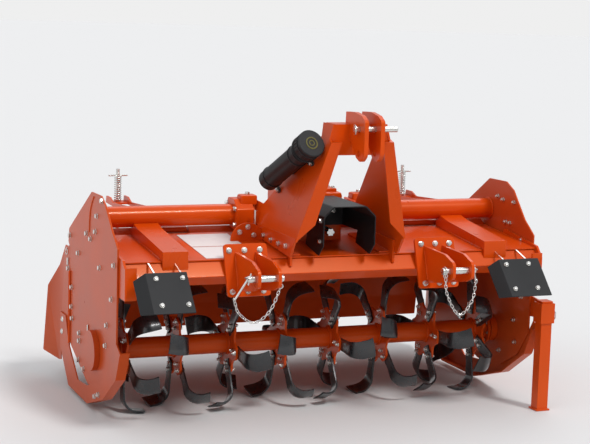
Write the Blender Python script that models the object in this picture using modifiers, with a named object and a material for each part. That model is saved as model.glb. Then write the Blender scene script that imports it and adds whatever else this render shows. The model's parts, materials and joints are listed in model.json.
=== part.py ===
"""Rotary tiller for a three-point hitch: frame, mast, hood, rotor with eight blade gangs, rear board and stand.

X runs across the machine, Y from the hitch to the rear, Z up from the floor. Sizes are in metres.
Run with: blender --background --python part.py
"""
from math import atan2, cos, pi, radians, sin, tan

import bmesh
import bpy
from mathutils import Matrix, Vector

# ---- Driving dimensions -------------------------------------------------------------------------
GAP = 0.0003                 # between pieces that touch
CENTRE_X = 0.0005            # middle of the overall width, from the hitch's centre plane
CENTRE_Y = 0.2070            # middle of the overall length, in the machine's own Y

HALF_WIDTH = 0.971           # outer faces of the side plates
PLATE_T = 0.008

TIP_RADIUS = 0.280           # rotor, to the blade tips
ROTOR_Y = 0.150
ROTOR_TUBE_R = 0.045
STUB_R = 0.030               # rotor's bearing stubs
BEARING_FIT = 0.0005
GANG_COUNT = 8
GANG_MARGIN = 0.1055         # from a side plate's inner face to the outermost flange
GANG_PHASES = (0, 22, -18, 28, -24, 17, -28, 0)     # degrees, one for each gang
FLANGE_R = 0.132
FLANGE_T = 0.010
BLADE_T = 0.008
BLADE_W = 0.078              # along the blade's path
BLADE_REACH = 0.112          # sideways from the flange
BLADES_PER_SIDE = 3

DECK_CLEARANCE = 0.160       # blade tips to the underside of the deck, at the beam
DECK_T = 0.005
DECK_SLOPE = 0.085
BEAM_SIDE = 0.076
BEAM_TURN = radians(36)      # upper front face, away from upright
BEAM_FRONT_Y = -0.270

STRUT_X, STRUT_W = 0.685, 0.110                     # hood struts: inner face and width
TUBE_Y = 0.230               # cross tube, which houses the drive shaft
TUBE_LIFT = 0.124            # tube axis over the beam's top edge
TUBE_R = 0.0465

GEARBOX_HALF = 0.120
GEARBOX_FRONT, GEARBOX_REAR = 0.030, 0.360
GEARBOX_H = 0.230
PTO_SHAFT_R = 0.0175
PTO_SHAFT_L = 0.150
PTO_LIFT = 0.085             # shaft axis over the beam's top edge
BORE_FIT = 0.0008
COWL_FRONT = -0.320
COWL_HALF = 0.120
COWL_LIFT = 0.225            # cowl top over the beam's top edge
COWL_WALL = 0.005

PIN_SPAN = 0.870             # between the middles of the lower hitch pins
PIN_Y = -0.500
PIN_DROP = 0.0335            # lower pins under the beam's top edge
PIN_R = 0.014
PIN_FIT = 0.0005
LUG_PITCH = 0.088
LUG_T = 0.014
MAST_HEIGHT = 0.597          # top link pin over the lower pins
TOP_PIN_Y = -0.480
TOP_PIN_R = 0.0125
CLEVIS_GAP = 0.054
CLEVIS_T = 0.018

HINGE_Y = 0.272
HINGE_LIFT = 0.055           # board hinge over the beam's top edge
HINGE_PIN_R = 0.006
KNUCKLE_R = 0.014
BOARD_T = 0.005
ROD_X, ROD_Y = 0.727, 0.695
ROD_R = 0.008
ROD_TOP = 0.280              # rod over the beam's top edge
SPRING_R = 0.017

STAND_X, STAND_Y = 0.966, -0.3155
STAND_SIDE = 0.055
STAND_LEG = 0.500
SLEEVE_WALL = 0.006
SLEEVE_FIT = 0.0008

CANISTER_R = 0.046
CANISTER_CAP_R = 0.057
CANISTER_OFF = 0.068         # canister axis out from the mast leg's face

# ---- Levels that follow from them ---------------------------------------------------------------
INNER = HALF_WIDTH - PLATE_T
AXIS_Z = TIP_RADIUS
DECK_Z = AXIS_Z + TIP_RADIUS + DECK_CLEARANCE       # the beam's top edge
TUBE_Z = DECK_Z + TUBE_LIFT
PIN_Z = DECK_Z - PIN_DROP
TOP_PIN_Z = PIN_Z + MAST_HEIGHT
HINGE_Z = DECK_Z + HINGE_LIFT
COWL_TOP = DECK_Z + COWL_LIFT
ROD_PIVOT_Z = DECK_Z - 0.020
GUIDE_Z = DECK_Z + 0.128      # upper face of the rods' guides
SPRING_TOP = DECK_Z + 0.245
BEAM_TOP = (BEAM_FRONT_Y + BEAM_SIDE * sin(BEAM_TURN), DECK_Z)
BEAM_NOSE = (BEAM_FRONT_Y, DECK_Z - BEAM_SIDE * cos(BEAM_TURN))
BEAM_END_T = 0.010
FRAME_HALF = INNER - 2 * GAP - BEAM_END_T           # beam and deck lie between the end brackets

ORANGE = ("orange_paint", (0.80, 0.10, 0.012), 0.32, 0.0)
BLACK = ("black_plastic", (0.015, 0.016, 0.017), 0.45, 0.0)
BLADE = ("blade_steel", (0.020, 0.021, 0.023), 0.30, 0.6)
ZINC = ("zinc_plate", (0.62, 0.62, 0.60), 0.28, 1.0)

for scene_object in list(bpy.data.objects):
    bpy.data.objects.remove(scene_object)
PARTS = bpy.data.collections.new("rotary_tiller")
HELPERS = bpy.data.collections.new("cutters")
for collection in (PARTS, HELPERS):
    bpy.context.scene.collection.children.link(collection)
ROOT = bpy.data.objects.new("machine", None)
PARTS.objects.link(ROOT)
ROOT.location = (-CENTRE_X, -CENTRE_Y, 0.0)


# ---- Modelling helpers --------------------------------------------------------------------------
def material(spec):
    """The Principled material of this name, made once."""
    name, colour, roughness, metallic = spec
    found = bpy.data.materials.get(name)
    if found:
        return found
    made = bpy.data.materials.new(name)
    made.use_nodes = True
    shader = made.node_tree.nodes["Principled BSDF"]
    shader.inputs["Base Color"].default_value = (*colour, 1.0)
    shader.inputs["Roughness"].default_value = roughness
    shader.inputs["Metallic"].default_value = metallic
    made.diffuse_color = (*colour, 1.0)
    return made


def settle(item, name):
    """Apply the object's own transform to its mesh, and file it with the helpers until it is a part."""
    item.data.transform(item.matrix_world)
    item.parent = ROOT
    item.matrix_basis = Matrix.Identity(4)
    item.name = name
    for owner in list(item.users_collection):
        owner.objects.unlink(item)
    HELPERS.objects.link(item)
    item.hide_render = True
    item.display_type = "WIRE"
    return item


def primitive(name, matrix):
    """The primitive that was just added, moved by the matrix."""
    item = bpy.context.active_object
    item.matrix_world = matrix
    return settle(item, name)


def block(name, low, high, bevel=0.0):
    """A box between two corners, with its edges bevelled if asked."""
    low, high = Vector(low), Vector(high)
    bpy.ops.mesh.primitive_cube_add(size=1.0)
    size = high - low
    item = primitive(name, Matrix.Translation((low + high) / 2) @ Matrix.Diagonal((*size, 1.0)))
    if bevel:
        edge = item.modifiers.new("edges", "BEVEL")
        edge.width = bevel
        edge.segments = 2
    return item


def bar(name, start, end, radius, sides=24):
    """A round bar from one point to another."""
    start, end = Vector(start), Vector(end)
    along = end - start
    bpy.ops.mesh.primitive_cylinder_add(vertices=sides, radius=radius, depth=along.length)
    turn = Vector((0, 0, 1)).rotation_difference(along.normalized()).to_matrix().to_4x4()
    return primitive(name, Matrix.Translation((start + end) / 2) @ turn)


def rounded(corners, radius, steps=4):
    """The outline with each corner replaced by an arc; a third value on a corner is its own radius."""
    points = []
    for index, corner in enumerate(corners):
        here = Vector(corner[:2])
        before = Vector(corners[index - 1][:2]) - here
        after = Vector(corners[(index + 1) % len(corners)][:2]) - here
        own = corner[2] if len(corner) > 2 else radius
        angle = before.angle(after)
        if own <= 0.0 or angle > radians(175):
            points.append(here)
            continue
        reach = min(own / tan(angle / 2), 0.45 * before.length, 0.45 * after.length)
        first, last = here + before.normalized() * reach, here + after.normalized() * reach
        for step in range(steps + 1):
            t = step / steps
            points.append(first * (1 - t) ** 2 + here * (2 * t * (1 - t)) + last * t ** 2)
    return points


def sheet(name, outline, start, thickness, facing="X"):
    """A flat plate: the outline in YZ (facing X), XZ (facing Y) or XY (facing Z), from start onwards."""
    curve = bpy.data.curves.new(name, "CURVE")
    curve.dimensions = "2D"
    curve.fill_mode = "BOTH"
    curve.extrude = thickness / 2
    spline = curve.splines.new("POLY")
    spline.points.add(len(outline) - 1)
    for point, at in zip(spline.points, outline):
        point.co = (at[0], at[1], 0.0, 1.0)
    spline.use_cyclic_u = True
    flat = bpy.data.objects.new(name, curve)
    HELPERS.objects.link(flat)
    middle = start + thickness / 2
    if facing == "X":
        flat.matrix_world = Matrix.Translation((middle, 0, 0)) @ Matrix(
            ((0, 0, 1, 0), (1, 0, 0, 0), (0, 1, 0, 0), (0, 0, 0, 1)))
    elif facing == "Y":
        flat.matrix_world = Matrix.Translation((0, middle, 0)) @ Matrix.Rotation(pi / 2, 4, "X")
    else:
        flat.matrix_world = Matrix.Translation((0, 0, middle))
    return meshed(flat)


def meshed(curve_object):
    """The curve as a welded mesh object, and the curve removed."""
    bpy.context.view_layer.update()
    depsgraph = bpy.context.evaluated_depsgraph_get()
    data = bpy.data.meshes.new_from_object(curve_object.evaluated_get(depsgraph))
    name = curve_object.name
    placed = curve_object.matrix_world.copy()
    bpy.data.objects.remove(curve_object)
    shape = bmesh.new()
    shape.from_mesh(data)
    bmesh.ops.remove_doubles(shape, verts=shape.verts, dist=0.00005)
    bmesh.ops.recalc_face_normals(shape, faces=shape.faces)
    shape.to_mesh(data)
    shape.free()
    item = bpy.data.objects.new(name, data)
    HELPERS.objects.link(item)
    item.matrix_world = placed
    return settle(item, name)


def strip(path, thickness):
    """The outline of a bent sheet: the path, and the path again a thickness to its right."""
    path = [Vector(point) for point in path]
    other = []
    for index, here in enumerate(path):
        ends = path[max(index - 1, 0)], path[min(index + 1, len(path) - 1)]
        before = (here - ends[0]).normalized() if index else (ends[1] - here).normalized()
        after = (ends[1] - here).normalized() if index < len(path) - 1 else before
        middle = (before + after).normalized()
        side = Vector((middle.y, -middle.x))
        other.append(here + side * thickness / max(0.3, middle.dot(after)))
    return path + other[::-1]


def combine(target, tool, operation):
    """Add a boolean with a helper to the target."""
    step = target.modifiers.new(operation.lower(), "BOOLEAN")
    step.operation = operation
    step.solver = "EXACT"
    step.object = tool
    return target


def join(target, *others):
    for other in others:
        combine(target, other, "UNION")
    return target


def cut(target, *others):
    for other in others:
        combine(target, other, "DIFFERENCE")
    return target


def part(item, name, finish, parent=ROOT, pivot=(0.0, 0.0, 0.0), smooth=False):
    """File the object as a named sub-part, its origin at the pivot, under its parent."""
    item.name = name
    item.data.name = name
    HELPERS.objects.unlink(item)
    PARTS.objects.link(item)
    item.hide_render = False
    item.display_type = "TEXTURED"
    item.data.materials.clear()
    item.data.materials.append(material(finish))
    if smooth:
        item.data.shade_smooth()
        item.data.set_sharp_from_angle(angle=radians(40))
    offset = Vector(pivot)
    item.data.transform(Matrix.Translation(-offset))
    item.parent = parent
    item.location = offset - parent_place(parent)
    return item


def parent_place(parent):
    """Where the parent stands in the machine's frame."""
    return Vector((0, 0, 0)) if parent is ROOT else Vector(parent.location)


def axis_empty(name, place):
    """An empty on a joint's axis, for the pieces that move together."""
    empty = bpy.data.objects.new(name, None)
    PARTS.objects.link(empty)
    empty.parent = ROOT
    empty.location = place
    return empty


def sided(side, outer, inner):
    """Low and high X of a span on the left (-1) or right (+1), given its distances from the middle."""
    return (side * outer, side * inner) if side < 0 else (inner, outer)


SIDES = (("left", -1), ("right", 1))


# ---- Keep-outs: neighbours grown by the gap, used to seat one piece on another -------------------
def beam_corners(grow):
    """The front beam's square section: nose, top, rear and bottom corners."""
    up = Vector((sin(BEAM_TURN), cos(BEAM_TURN)))
    back = Vector((cos(BEAM_TURN), -sin(BEAM_TURN)))
    nose = Vector(BEAM_NOSE) - (up + back) * grow
    side = BEAM_SIDE + 2 * grow
    return [nose, nose + back * side, nose + (up + back) * side, nose + up * side]


def deck_level(y):
    """Height of the deck's underside."""
    return DECK_Z + GAP + (y - BEAM_TOP[0]) * DECK_SLOPE


DECK_FRONT, DECK_REAR = BEAM_TOP[0] - 0.008, 0.235


def deck_outline(grow):
    front, rear = DECK_FRONT - grow, DECK_REAR + grow
    return [(front, deck_level(front) - grow), (rear, deck_level(rear) - grow),
            (rear, deck_level(rear) + DECK_T + grow), (front, deck_level(front) + DECK_T + grow)]


BEAM_KEEP = sheet("beam_keep", beam_corners(GAP), -1.5, 3.0)
DECK_KEEP = sheet("deck_keep", deck_outline(GAP), -1.5, 3.0)
TUBE_KEEP = bar("tube_keep", (-1.5, TUBE_Y, TUBE_Z), (1.5, TUBE_Y, TUBE_Z), TUBE_R + GAP, 32)


# ---- Frame ---------------------------------------------------------------------------------------
def frame():
    beam = sheet("beam", beam_corners(0.0), -FRAME_HALF, 2 * FRAME_HALF)
    part(beam, "front_beam", ORANGE)
    front_low, _, rear_high, front_high = deck_outline(0.0)
    lip = [(DECK_REAR - DECK_T, deck_level(DECK_REAR - DECK_T)), (DECK_REAR - DECK_T, DECK_Z - 0.020),
           (DECK_REAR, DECK_Z - 0.020)]
    deck = sheet("deck", [front_low, *lip, rear_high, front_high], -FRAME_HALF, 2 * FRAME_HALF)
    for low, high in knuckle_spans()[0::2]:
        join(deck, sheet("deck_knuckle", knuckle_outline(DECK_REAR - 0.003), low, high - low))
    cut(deck, bar("hinge_bore", (-1.5, HINGE_Y, HINGE_Z), (1.5, HINGE_Y, HINGE_Z), HINGE_PIN_R + PIN_FIT, 16))
    part(deck, "hood_deck", ORANGE)
    for name, side in SIDES:
        low, high = sided(side, INNER - GAP, INNER - GAP - BEAM_END_T)
        outline = [(BEAM_FRONT_Y - 0.012, DECK_Z - 0.145), (BEAM_FRONT_Y - 0.012, DECK_Z - 0.030),
                   (BEAM_FRONT_Y + 0.030, DECK_Z + 0.015), (0.060, DECK_Z + 0.050), (0.060, DECK_Z - 0.145)]
        end = sheet("end", rounded(outline, 0.012), low, high - low)
        low, high = sided(side, INNER - GAP, INNER - 0.050)
        face = [(low, DECK_Z - 0.145), (high, DECK_Z - 0.145), (high, DECK_Z - 0.012), (low, DECK_Z - 0.012)]
        join(end, sheet("end_face", face, BEAM_FRONT_Y - GAP - 0.010, 0.010, "Y"))
        part(end, "beam_end_" + name, ORANGE)
        low, high = sided(side, STRUT_X + STRUT_W, STRUT_X)
        outline = [(BEAM_FRONT_Y + 0.021, DECK_Z - 0.040), (BEAM_FRONT_Y + 0.024, DECK_Z + 0.045),
                   (TUBE_Y - 0.110, DECK_Z + 0.085), (TUBE_Y - 0.020, TUBE_Z - 0.020),
                   (TUBE_Y, TUBE_Z - 0.020), (TUBE_Y, DECK_Z + 0.02), (BEAM_TOP[0], DECK_Z - 0.060)]
        strut = sheet("strut", outline, low, high - low)
        cut(strut, BEAM_KEEP, DECK_KEEP, TUBE_KEEP, DECK_UNDER)
        part(strut, "hood_strut_" + name, ORANGE)
        inner_end = GEARBOX_HALF + GAP
        tube = bar("tube", (side * inner_end, TUBE_Y, TUBE_Z), (side * (INNER - GAP), TUBE_Y, TUBE_Z), TUBE_R, 32)
        part(tube, "cross_tube_" + name, ORANGE, smooth=True)


DECK_UNDER = sheet("deck_under", [(BEAM_TOP[0], 0.3), (0.6, 0.3), (0.6, deck_level(0.6) + DECK_T / 2),
                                  (BEAM_TOP[0], deck_level(BEAM_TOP[0]) + DECK_T / 2)], -1.5, 3.0)


def knuckle_spans():
    """The hinge line from side to side, split into an odd number of knuckles with a small gap between."""
    count, clear = 9, 0.006
    reach = FRAME_HALF - 0.004
    pitch = 2 * reach / count
    return [(-reach + i * pitch + clear / 2, -reach + (i + 1) * pitch - clear / 2) for i in range(count)]


def knuckle_outline(root_y):
    """A hinge knuckle: a round eye on the hinge axis, with a tab back to the sheet that carries it."""
    sign = 1 if root_y > HINGE_Y else -1
    points = []
    for step in range(9):
        angle = radians(90 - 180 * step / 8)
        points.append((HINGE_Y - sign * KNUCKLE_R * cos(angle), HINGE_Z + KNUCKLE_R * sin(angle)))
    root_top = HINGE_Z + KNUCKLE_R if sign > 0 else deck_level(root_y) + DECK_T - 0.0012
    return points + [(root_y, HINGE_Z - KNUCKLE_R), (root_y, root_top)]


# ---- Mast and hitch ------------------------------------------------------------------------------
LEG_LEAN = radians(14.9)          # inwards
LEG_PITCH = radians(11.4)         # forwards, along the front edge
LEG_FOOT_X = 0.2525
LEG_T = 0.010
LEG_BASE_Z = DECK_Z + 0.084
LEG_FRONT_Y = -0.336


def leg_x(z):
    """Distance of a leg's outer face from the middle."""
    return LEG_FOOT_X - (z - LEG_BASE_Z) * tan(LEG_LEAN)


def mast():
    head_top, head_low = TOP_PIN_Z + 0.013, TOP_PIN_Z - 0.115
    tab = 0.075
    for name, side in SIDES:
        rows = [(LEG_FRONT_Y, LEG_BASE_Z), (LEG_FRONT_Y - 0.085, LEG_BASE_Z + 0.420),
                (-0.392, LEG_BASE_Z + 0.430), (-0.392, head_top), (-0.285, head_top),
                (-0.305, head_top - 0.055), (-0.275, head_top - 0.085), (TUBE_Y - 0.115, TUBE_Z + 0.060),
                (TUBE_Y + 0.012, TUBE_Z + 0.066), (TUBE_Y + 0.012, TUBE_Z), (TUBE_Y - 0.060, LEG_BASE_Z)]
        low, high = sided(side, LEG_FOOT_X, LEG_FOOT_X - LEG_T)
        lifted = [(y, (z - LEG_BASE_Z) / cos(LEG_LEAN)) for y, z in rows]
        web = sheet("web", lifted, low, high - low)
        web.data.transform(Matrix.Translation((side * LEG_FOOT_X, 0, LEG_BASE_Z))
                           @ Matrix.Rotation(-side * LEG_LEAN, 4, "Y")
                           @ Matrix.Translation((-side * LEG_FOOT_X, 0, 0)))
        foot = [(LEG_FRONT_Y + 0.001, LEG_BASE_Z + 0.012), (LEG_FRONT_Y + 0.060, LEG_BASE_Z - tab),
                (TUBE_Y - 0.100, LEG_BASE_Z - tab + 0.035), (TUBE_Y - 0.060, LEG_BASE_Z + 0.012)]
        skirt = sheet("skirt", foot, low, high - low)
        edge = []
        for height, inset in ((0.0, 0.004), (0.070, 0.062), (0.420, 0.048)):
            edge.append((side * (leg_x(LEG_BASE_Z + height) - inset), height / cos(LEG_PITCH)))
        for height in (0.420, 0.0):
            edge.append((side * leg_x(LEG_BASE_Z + height), height / cos(LEG_PITCH)))
        flange = sheet("flange", edge[::side], 0.0, LEG_T, "Y")
        flange.data.transform(Matrix.Translation((0, LEG_FRONT_Y - 0.002, LEG_BASE_Z))
                              @ Matrix.Rotation(LEG_PITCH, 4, "X"))
        join(web, skirt, flange)
        cut(web, TUBE_KEEP)
        part(web, "mast_leg_" + name, ORANGE)

        low, high = sided(side, LEG_FOOT_X - LEG_T - GAP, LEG_FOOT_X - 2 * LEG_T - GAP)
        rows = [(BEAM_FRONT_Y + 0.010, DECK_Z - 0.030), (BEAM_FRONT_Y + 0.015, LEG_BASE_Z - 0.018),
                (TUBE_Y - 0.120, LEG_BASE_Z - 0.010), (TUBE_Y - 0.120, DECK_Z + 0.010),
                (BEAM_TOP[0], DECK_Z - 0.050)]
        foot = sheet("foot", rows, low, high - low)
        outer, inner = LEG_FOOT_X - LEG_T - GAP, LEG_FOOT_X - 2 * LEG_T - GAP - 0.050
        low, high = sided(side, outer, inner)
        base = [(BEAM_TOP[0], deck_level(BEAM_TOP[0]) + DECK_T + GAP + 0.008),
                (TUBE_Y - 0.120, deck_level(TUBE_Y - 0.120) + DECK_T + GAP + 0.008),
                (TUBE_Y - 0.120, DECK_Z + 0.010), (BEAM_TOP[0], DECK_Z - 0.010)]
        join(foot, sheet("foot_base", base, low, high - low))
        cut(foot, BEAM_KEEP, DECK_KEEP, DECK_UNDER)
        part(foot, "mast_foot_" + name, ORANGE)

        low, high = sided(side, LEG_FOOT_X + 0.082, LEG_FOOT_X + GAP)
        rows = [(TUBE_Y - 0.075, TUBE_Z - 0.062), (TUBE_Y - 0.075, TUBE_Z + 0.030),
                (TUBE_Y - 0.030, TUBE_Z + 0.072), (TUBE_Y + 0.045, TUBE_Z + 0.072),
                (TUBE_Y + 0.075, TUBE_Z + 0.030), (TUBE_Y + 0.075, TUBE_Z - 0.020), (TUBE_Y, TUBE_Z - 0.062)]
        clamp = cut(sheet("clamp", rounded(rows, 0.015), low, high - low), TUBE_KEEP)
        part(clamp, "tube_clamp_" + name, ORANGE)

    def inside(z):
        return leg_x(z) - (LEG_T + GAP) / cos(LEG_LEAN)
    outline = [(-inside(head_low), head_low), (inside(head_low), head_low),
               (inside(head_top), head_top), (-inside(head_top), head_top)]
    head = sheet("head", outline, -0.390, 0.100, "Y")
    clevis = [(-0.335, head_top - 0.060), (-0.342, TOP_PIN_Z + 0.062), (-0.430, TOP_PIN_Z + 0.066),
              (-0.500, TOP_PIN_Z + 0.056), (-0.536, TOP_PIN_Z + 0.036, 0.02), (-0.536, TOP_PIN_Z - 0.105, 0.03),
              (-0.500, TOP_PIN_Z - 0.135, 0.03), (-0.455, TOP_PIN_Z - 0.118, 0.02), (-0.405, TOP_PIN_Z - 0.060),
              (-0.385, TOP_PIN_Z - 0.060)]
    for side in (-1, 1):
        low, high = sided(side, CLEVIS_GAP / 2 + CLEVIS_T, CLEVIS_GAP / 2)
        join(head, sheet("cheek", rounded(clevis, 0.004), low, high - low))
    for drop in (0.0, 0.100):
        hole = bar("pin_hole", (-0.2, TOP_PIN_Y, TOP_PIN_Z - drop), (0.2, TOP_PIN_Y, TOP_PIN_Z - drop),
                   TOP_PIN_R + PIN_FIT)
        cut(head, hole)
    part(head, "mast_head", ORANGE)
    pin = bar("pin", (-0.068, TOP_PIN_Y, TOP_PIN_Z), (0.125, TOP_PIN_Y, TOP_PIN_Z), TOP_PIN_R)
    part(pin, "top_link_pin", ZINC, smooth=True)


def hitch():
    tilt = radians(19.4)
    plate_t = 0.014

    def plate_y(z):
        """Where the leaning base plate's back face is, at a height."""
        return BEAM_NOSE[0] - GAP / cos(tilt) - 0.0002 + (z - BEAM_NOSE[1]) * tan(tilt)

    for name, side in SIDES:
        low, high = sided(side, PIN_SPAN / 2 + 0.098, PIN_SPAN / 2 - 0.092)
        bottom, top = BEAM_NOSE[1] - 0.083, DECK_Z + 0.064
        face = [(low, (bottom - BEAM_NOSE[1]) / cos(tilt)), (high, (bottom - BEAM_NOSE[1]) / cos(tilt)),
                (high, (top - BEAM_NOSE[1]) / cos(tilt)), (low, (top - BEAM_NOSE[1]) / cos(tilt))]
        plate = sheet("plate", rounded(face, 0.015), -plate_t, plate_t, "Y")
        plate.data.transform(Matrix.Translation((0, plate_y(BEAM_NOSE[1]), BEAM_NOSE[1]))
                             @ Matrix.Rotation(-tilt, 4, "X"))
        rows = [(plate_y(DECK_Z + 0.035), DECK_Z + 0.035, 0), (PIN_Y + 0.050, PIN_Z + 0.062, 0.05),
                (PIN_Y - 0.034, PIN_Z + 0.035, 0.03), (PIN_Y - 0.034, PIN_Z - 0.030, 0.025),
                (PIN_Y + 0.030, PIN_Z - 0.055, 0.03), (plate_y(BEAM_NOSE[1] - 0.060), BEAM_NOSE[1] - 0.060, 0),
                (BEAM_TOP[0] + 0.010, BEAM_NOSE[1] - 0.044, 0), (BEAM_TOP[0] - 0.014, DECK_Z - 0.006, 0)]
        for offset in (-1, 1):
            middle = side * PIN_SPAN / 2 + offset * LUG_PITCH / 2
            join(plate, sheet("lug", rounded(rows, 0.0), middle - LUG_T / 2, LUG_T))
        hole = bar("hole", (side * PIN_SPAN / 2 - 0.2, PIN_Y, PIN_Z), (side * PIN_SPAN / 2 + 0.2, PIN_Y, PIN_Z),
                   PIN_R + PIN_FIT)
        part(cut(plate, hole, BEAM_KEEP), "hitch_bracket_" + name, ORANGE)
        centre = side * PIN_SPAN / 2
        pin = bar("pin", (centre - 0.085, PIN_Y, PIN_Z), (centre + 0.070, PIN_Y, PIN_Z), PIN_R)
        part(pin, "lower_link_pin_" + name, ZINC, smooth=True)


# ---- Drive ---------------------------------------------------------------------------------------
def cowl_section(name, inset, start, end):
    """The input shaft cowl's section, an arch with broken top corners, from start to end along Y."""
    half, top = COWL_HALF - inset, COWL_TOP - inset
    corner_x, corner_z = half - 0.045, top - 0.043
    outline = [(-half, 0.4, 0), (half, 0.4, 0), (half, corner_z, 0.015), (corner_x, top, 0.015),
               (-corner_x, top, 0.015), (-half, corner_z, 0.015)]
    return sheet(name, rounded(outline, 0.0), start, end - start, "Y")


def drive():
    box = block("box", (-GEARBOX_HALF, GEARBOX_FRONT, DECK_Z + 0.010),
                (GEARBOX_HALF, GEARBOX_REAR, DECK_Z + 0.010 + GEARBOX_H), 0.018)
    rear_cut = block("box_rear", (-0.3, DECK_REAR - 0.002, 0.3),
                     (0.3, GEARBOX_REAR + 0.020, HINGE_Z + KNUCKLE_R + 0.008))
    axis = DECK_Z + PTO_LIFT
    bore = bar("bore", (0, GEARBOX_FRONT - 0.01, axis), (0, GEARBOX_FRONT + 0.030, axis), PTO_SHAFT_R + BORE_FIT)
    cut(box, DECK_KEEP, DECK_UNDER, rear_cut, bore)
    part(box, "gearbox", ORANGE)
    pto_axis = axis_empty("pto_axis", (0, GEARBOX_FRONT, axis))
    shaft = bar("shaft", (0, GEARBOX_FRONT + 0.028, axis), (0, GEARBOX_FRONT - PTO_SHAFT_L, axis), PTO_SHAFT_R)
    part(shaft, "pto_shaft", ZINC, pto_axis, (0, GEARBOX_FRONT, axis), smooth=True)

    back = GEARBOX_FRONT - GAP
    wall_low = axis + 0.010
    hood = cowl_section("cowl", 0.0, COWL_FRONT, back)
    hollow = cowl_section("cowl_hollow", COWL_WALL, COWL_FRONT - 0.1, back - 0.008)
    lower = [(COWL_FRONT - 0.1, 0.3), (COWL_FRONT - 0.1, axis - 0.027), (COWL_FRONT, axis - 0.027),
             (COWL_FRONT + 0.048, axis - 0.074), (COWL_FRONT + 0.195, axis - 0.047),
             (COWL_FRONT + 0.180, wall_low), (GEARBOX_FRONT + 0.1, wall_low), (GEARBOX_FRONT + 0.1, 0.3)]
    below = sheet("cowl_below", lower, -0.3, 0.6)
    neck = bar("cowl_neck", (0, back - 0.05, axis), (0, back + 0.05, axis), PTO_SHAFT_R + 0.014)
    cut(hood, hollow, below, neck)
    part(hood, "pto_shield", BLACK)

    low_z, high_z = TUBE_Z + 0.180, TUBE_Z + 0.375
    low_end = Vector((-leg_x(low_z) - CANISTER_OFF, -0.030, low_z))
    high_end = Vector((-leg_x(high_z) - CANISTER_OFF, -0.380, high_z))
    along = (high_end - low_end).normalized()
    collar = high_end - along * 0.070
    holder = bar("holder", low_end, collar, CANISTER_R, 28)
    saddle = block("saddle", (-0.020, -0.070, -0.016), (0.020, 0.070, 0.016))
    lean = Matrix.Rotation(LEG_LEAN, 4, "Y")
    middle = (low_end + collar) / 2
    reach = leg_x(middle.z) + GAP / cos(LEG_LEAN)
    pitch = Matrix.Rotation(-atan2(along.z, -along.y), 4, "X")
    saddle.data.transform(Matrix.Translation((-reach, middle.y, middle.z)) @ lean @ pitch
                          @ Matrix.Translation((-0.020, 0, 0)))
    part(join(holder, saddle), "manual_canister", BLACK)
    cap_axis = axis_empty("cap_axis", collar)
    cap = bar("cap", collar + along * GAP, high_end, CANISTER_CAP_R, 28)
    part(cap, "canister_cap", BLACK, cap_axis, tuple(collar))


# ---- Sides ---------------------------------------------------------------------------------------
CASE_R_TOP, CASE_R_LOW = 0.120, 0.130
CASE_T = 0.044


def side_outline(lift):
    """A side plate's outline; lift raises its crown over the cross tube."""
    return [(-0.190, AXIS_Z + 0.045), (-0.193, DECK_Z + 0.055), (-0.107, DECK_Z + 0.114),
            (0.006, TUBE_Z + 0.082 + lift), (0.075, TUBE_Z + 0.114 + lift), (TUBE_Y + 0.004, TUBE_Z + 0.111 + lift),
            (0.626, DECK_Z + 0.021), (0.639, DECK_Z - 0.044), (0.605, DECK_Z - 0.062),
            (0.600, 0.225), (0.560, 0.205), (0.270, 0.105, 0.05), (0.050, 0.122, 0.05), (-0.100, 0.205, 0.05)]


SKID_SOLE = ((0.756, 0.170), (0.591, 0.020), (0.248, 0.020), (-0.012, 0.102), (-0.212, 0.233), (-0.274, 0.356))
SKID_INNER = ((-0.215, 0.385), (-0.150, 0.285), (0.030, 0.172), (0.260, 0.098), (0.420, 0.085), (0.588, 0.205),
              (0.655, 0.330), (0.755, 0.330))
SKID_T, SOLE_T, SOLE_W = 0.006, 0.007, 0.042
WING_BEND_Y, WING_FLARE = 0.800, 0.30


def arc_path(points, radius):
    """A run of points with its inner corners rounded."""
    ring = rounded([(*points[0], 0.0), *[(*p, radius) for p in points[1:-1]], (*points[-1], 0.0)], 0.0, 3)
    return ring


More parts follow.
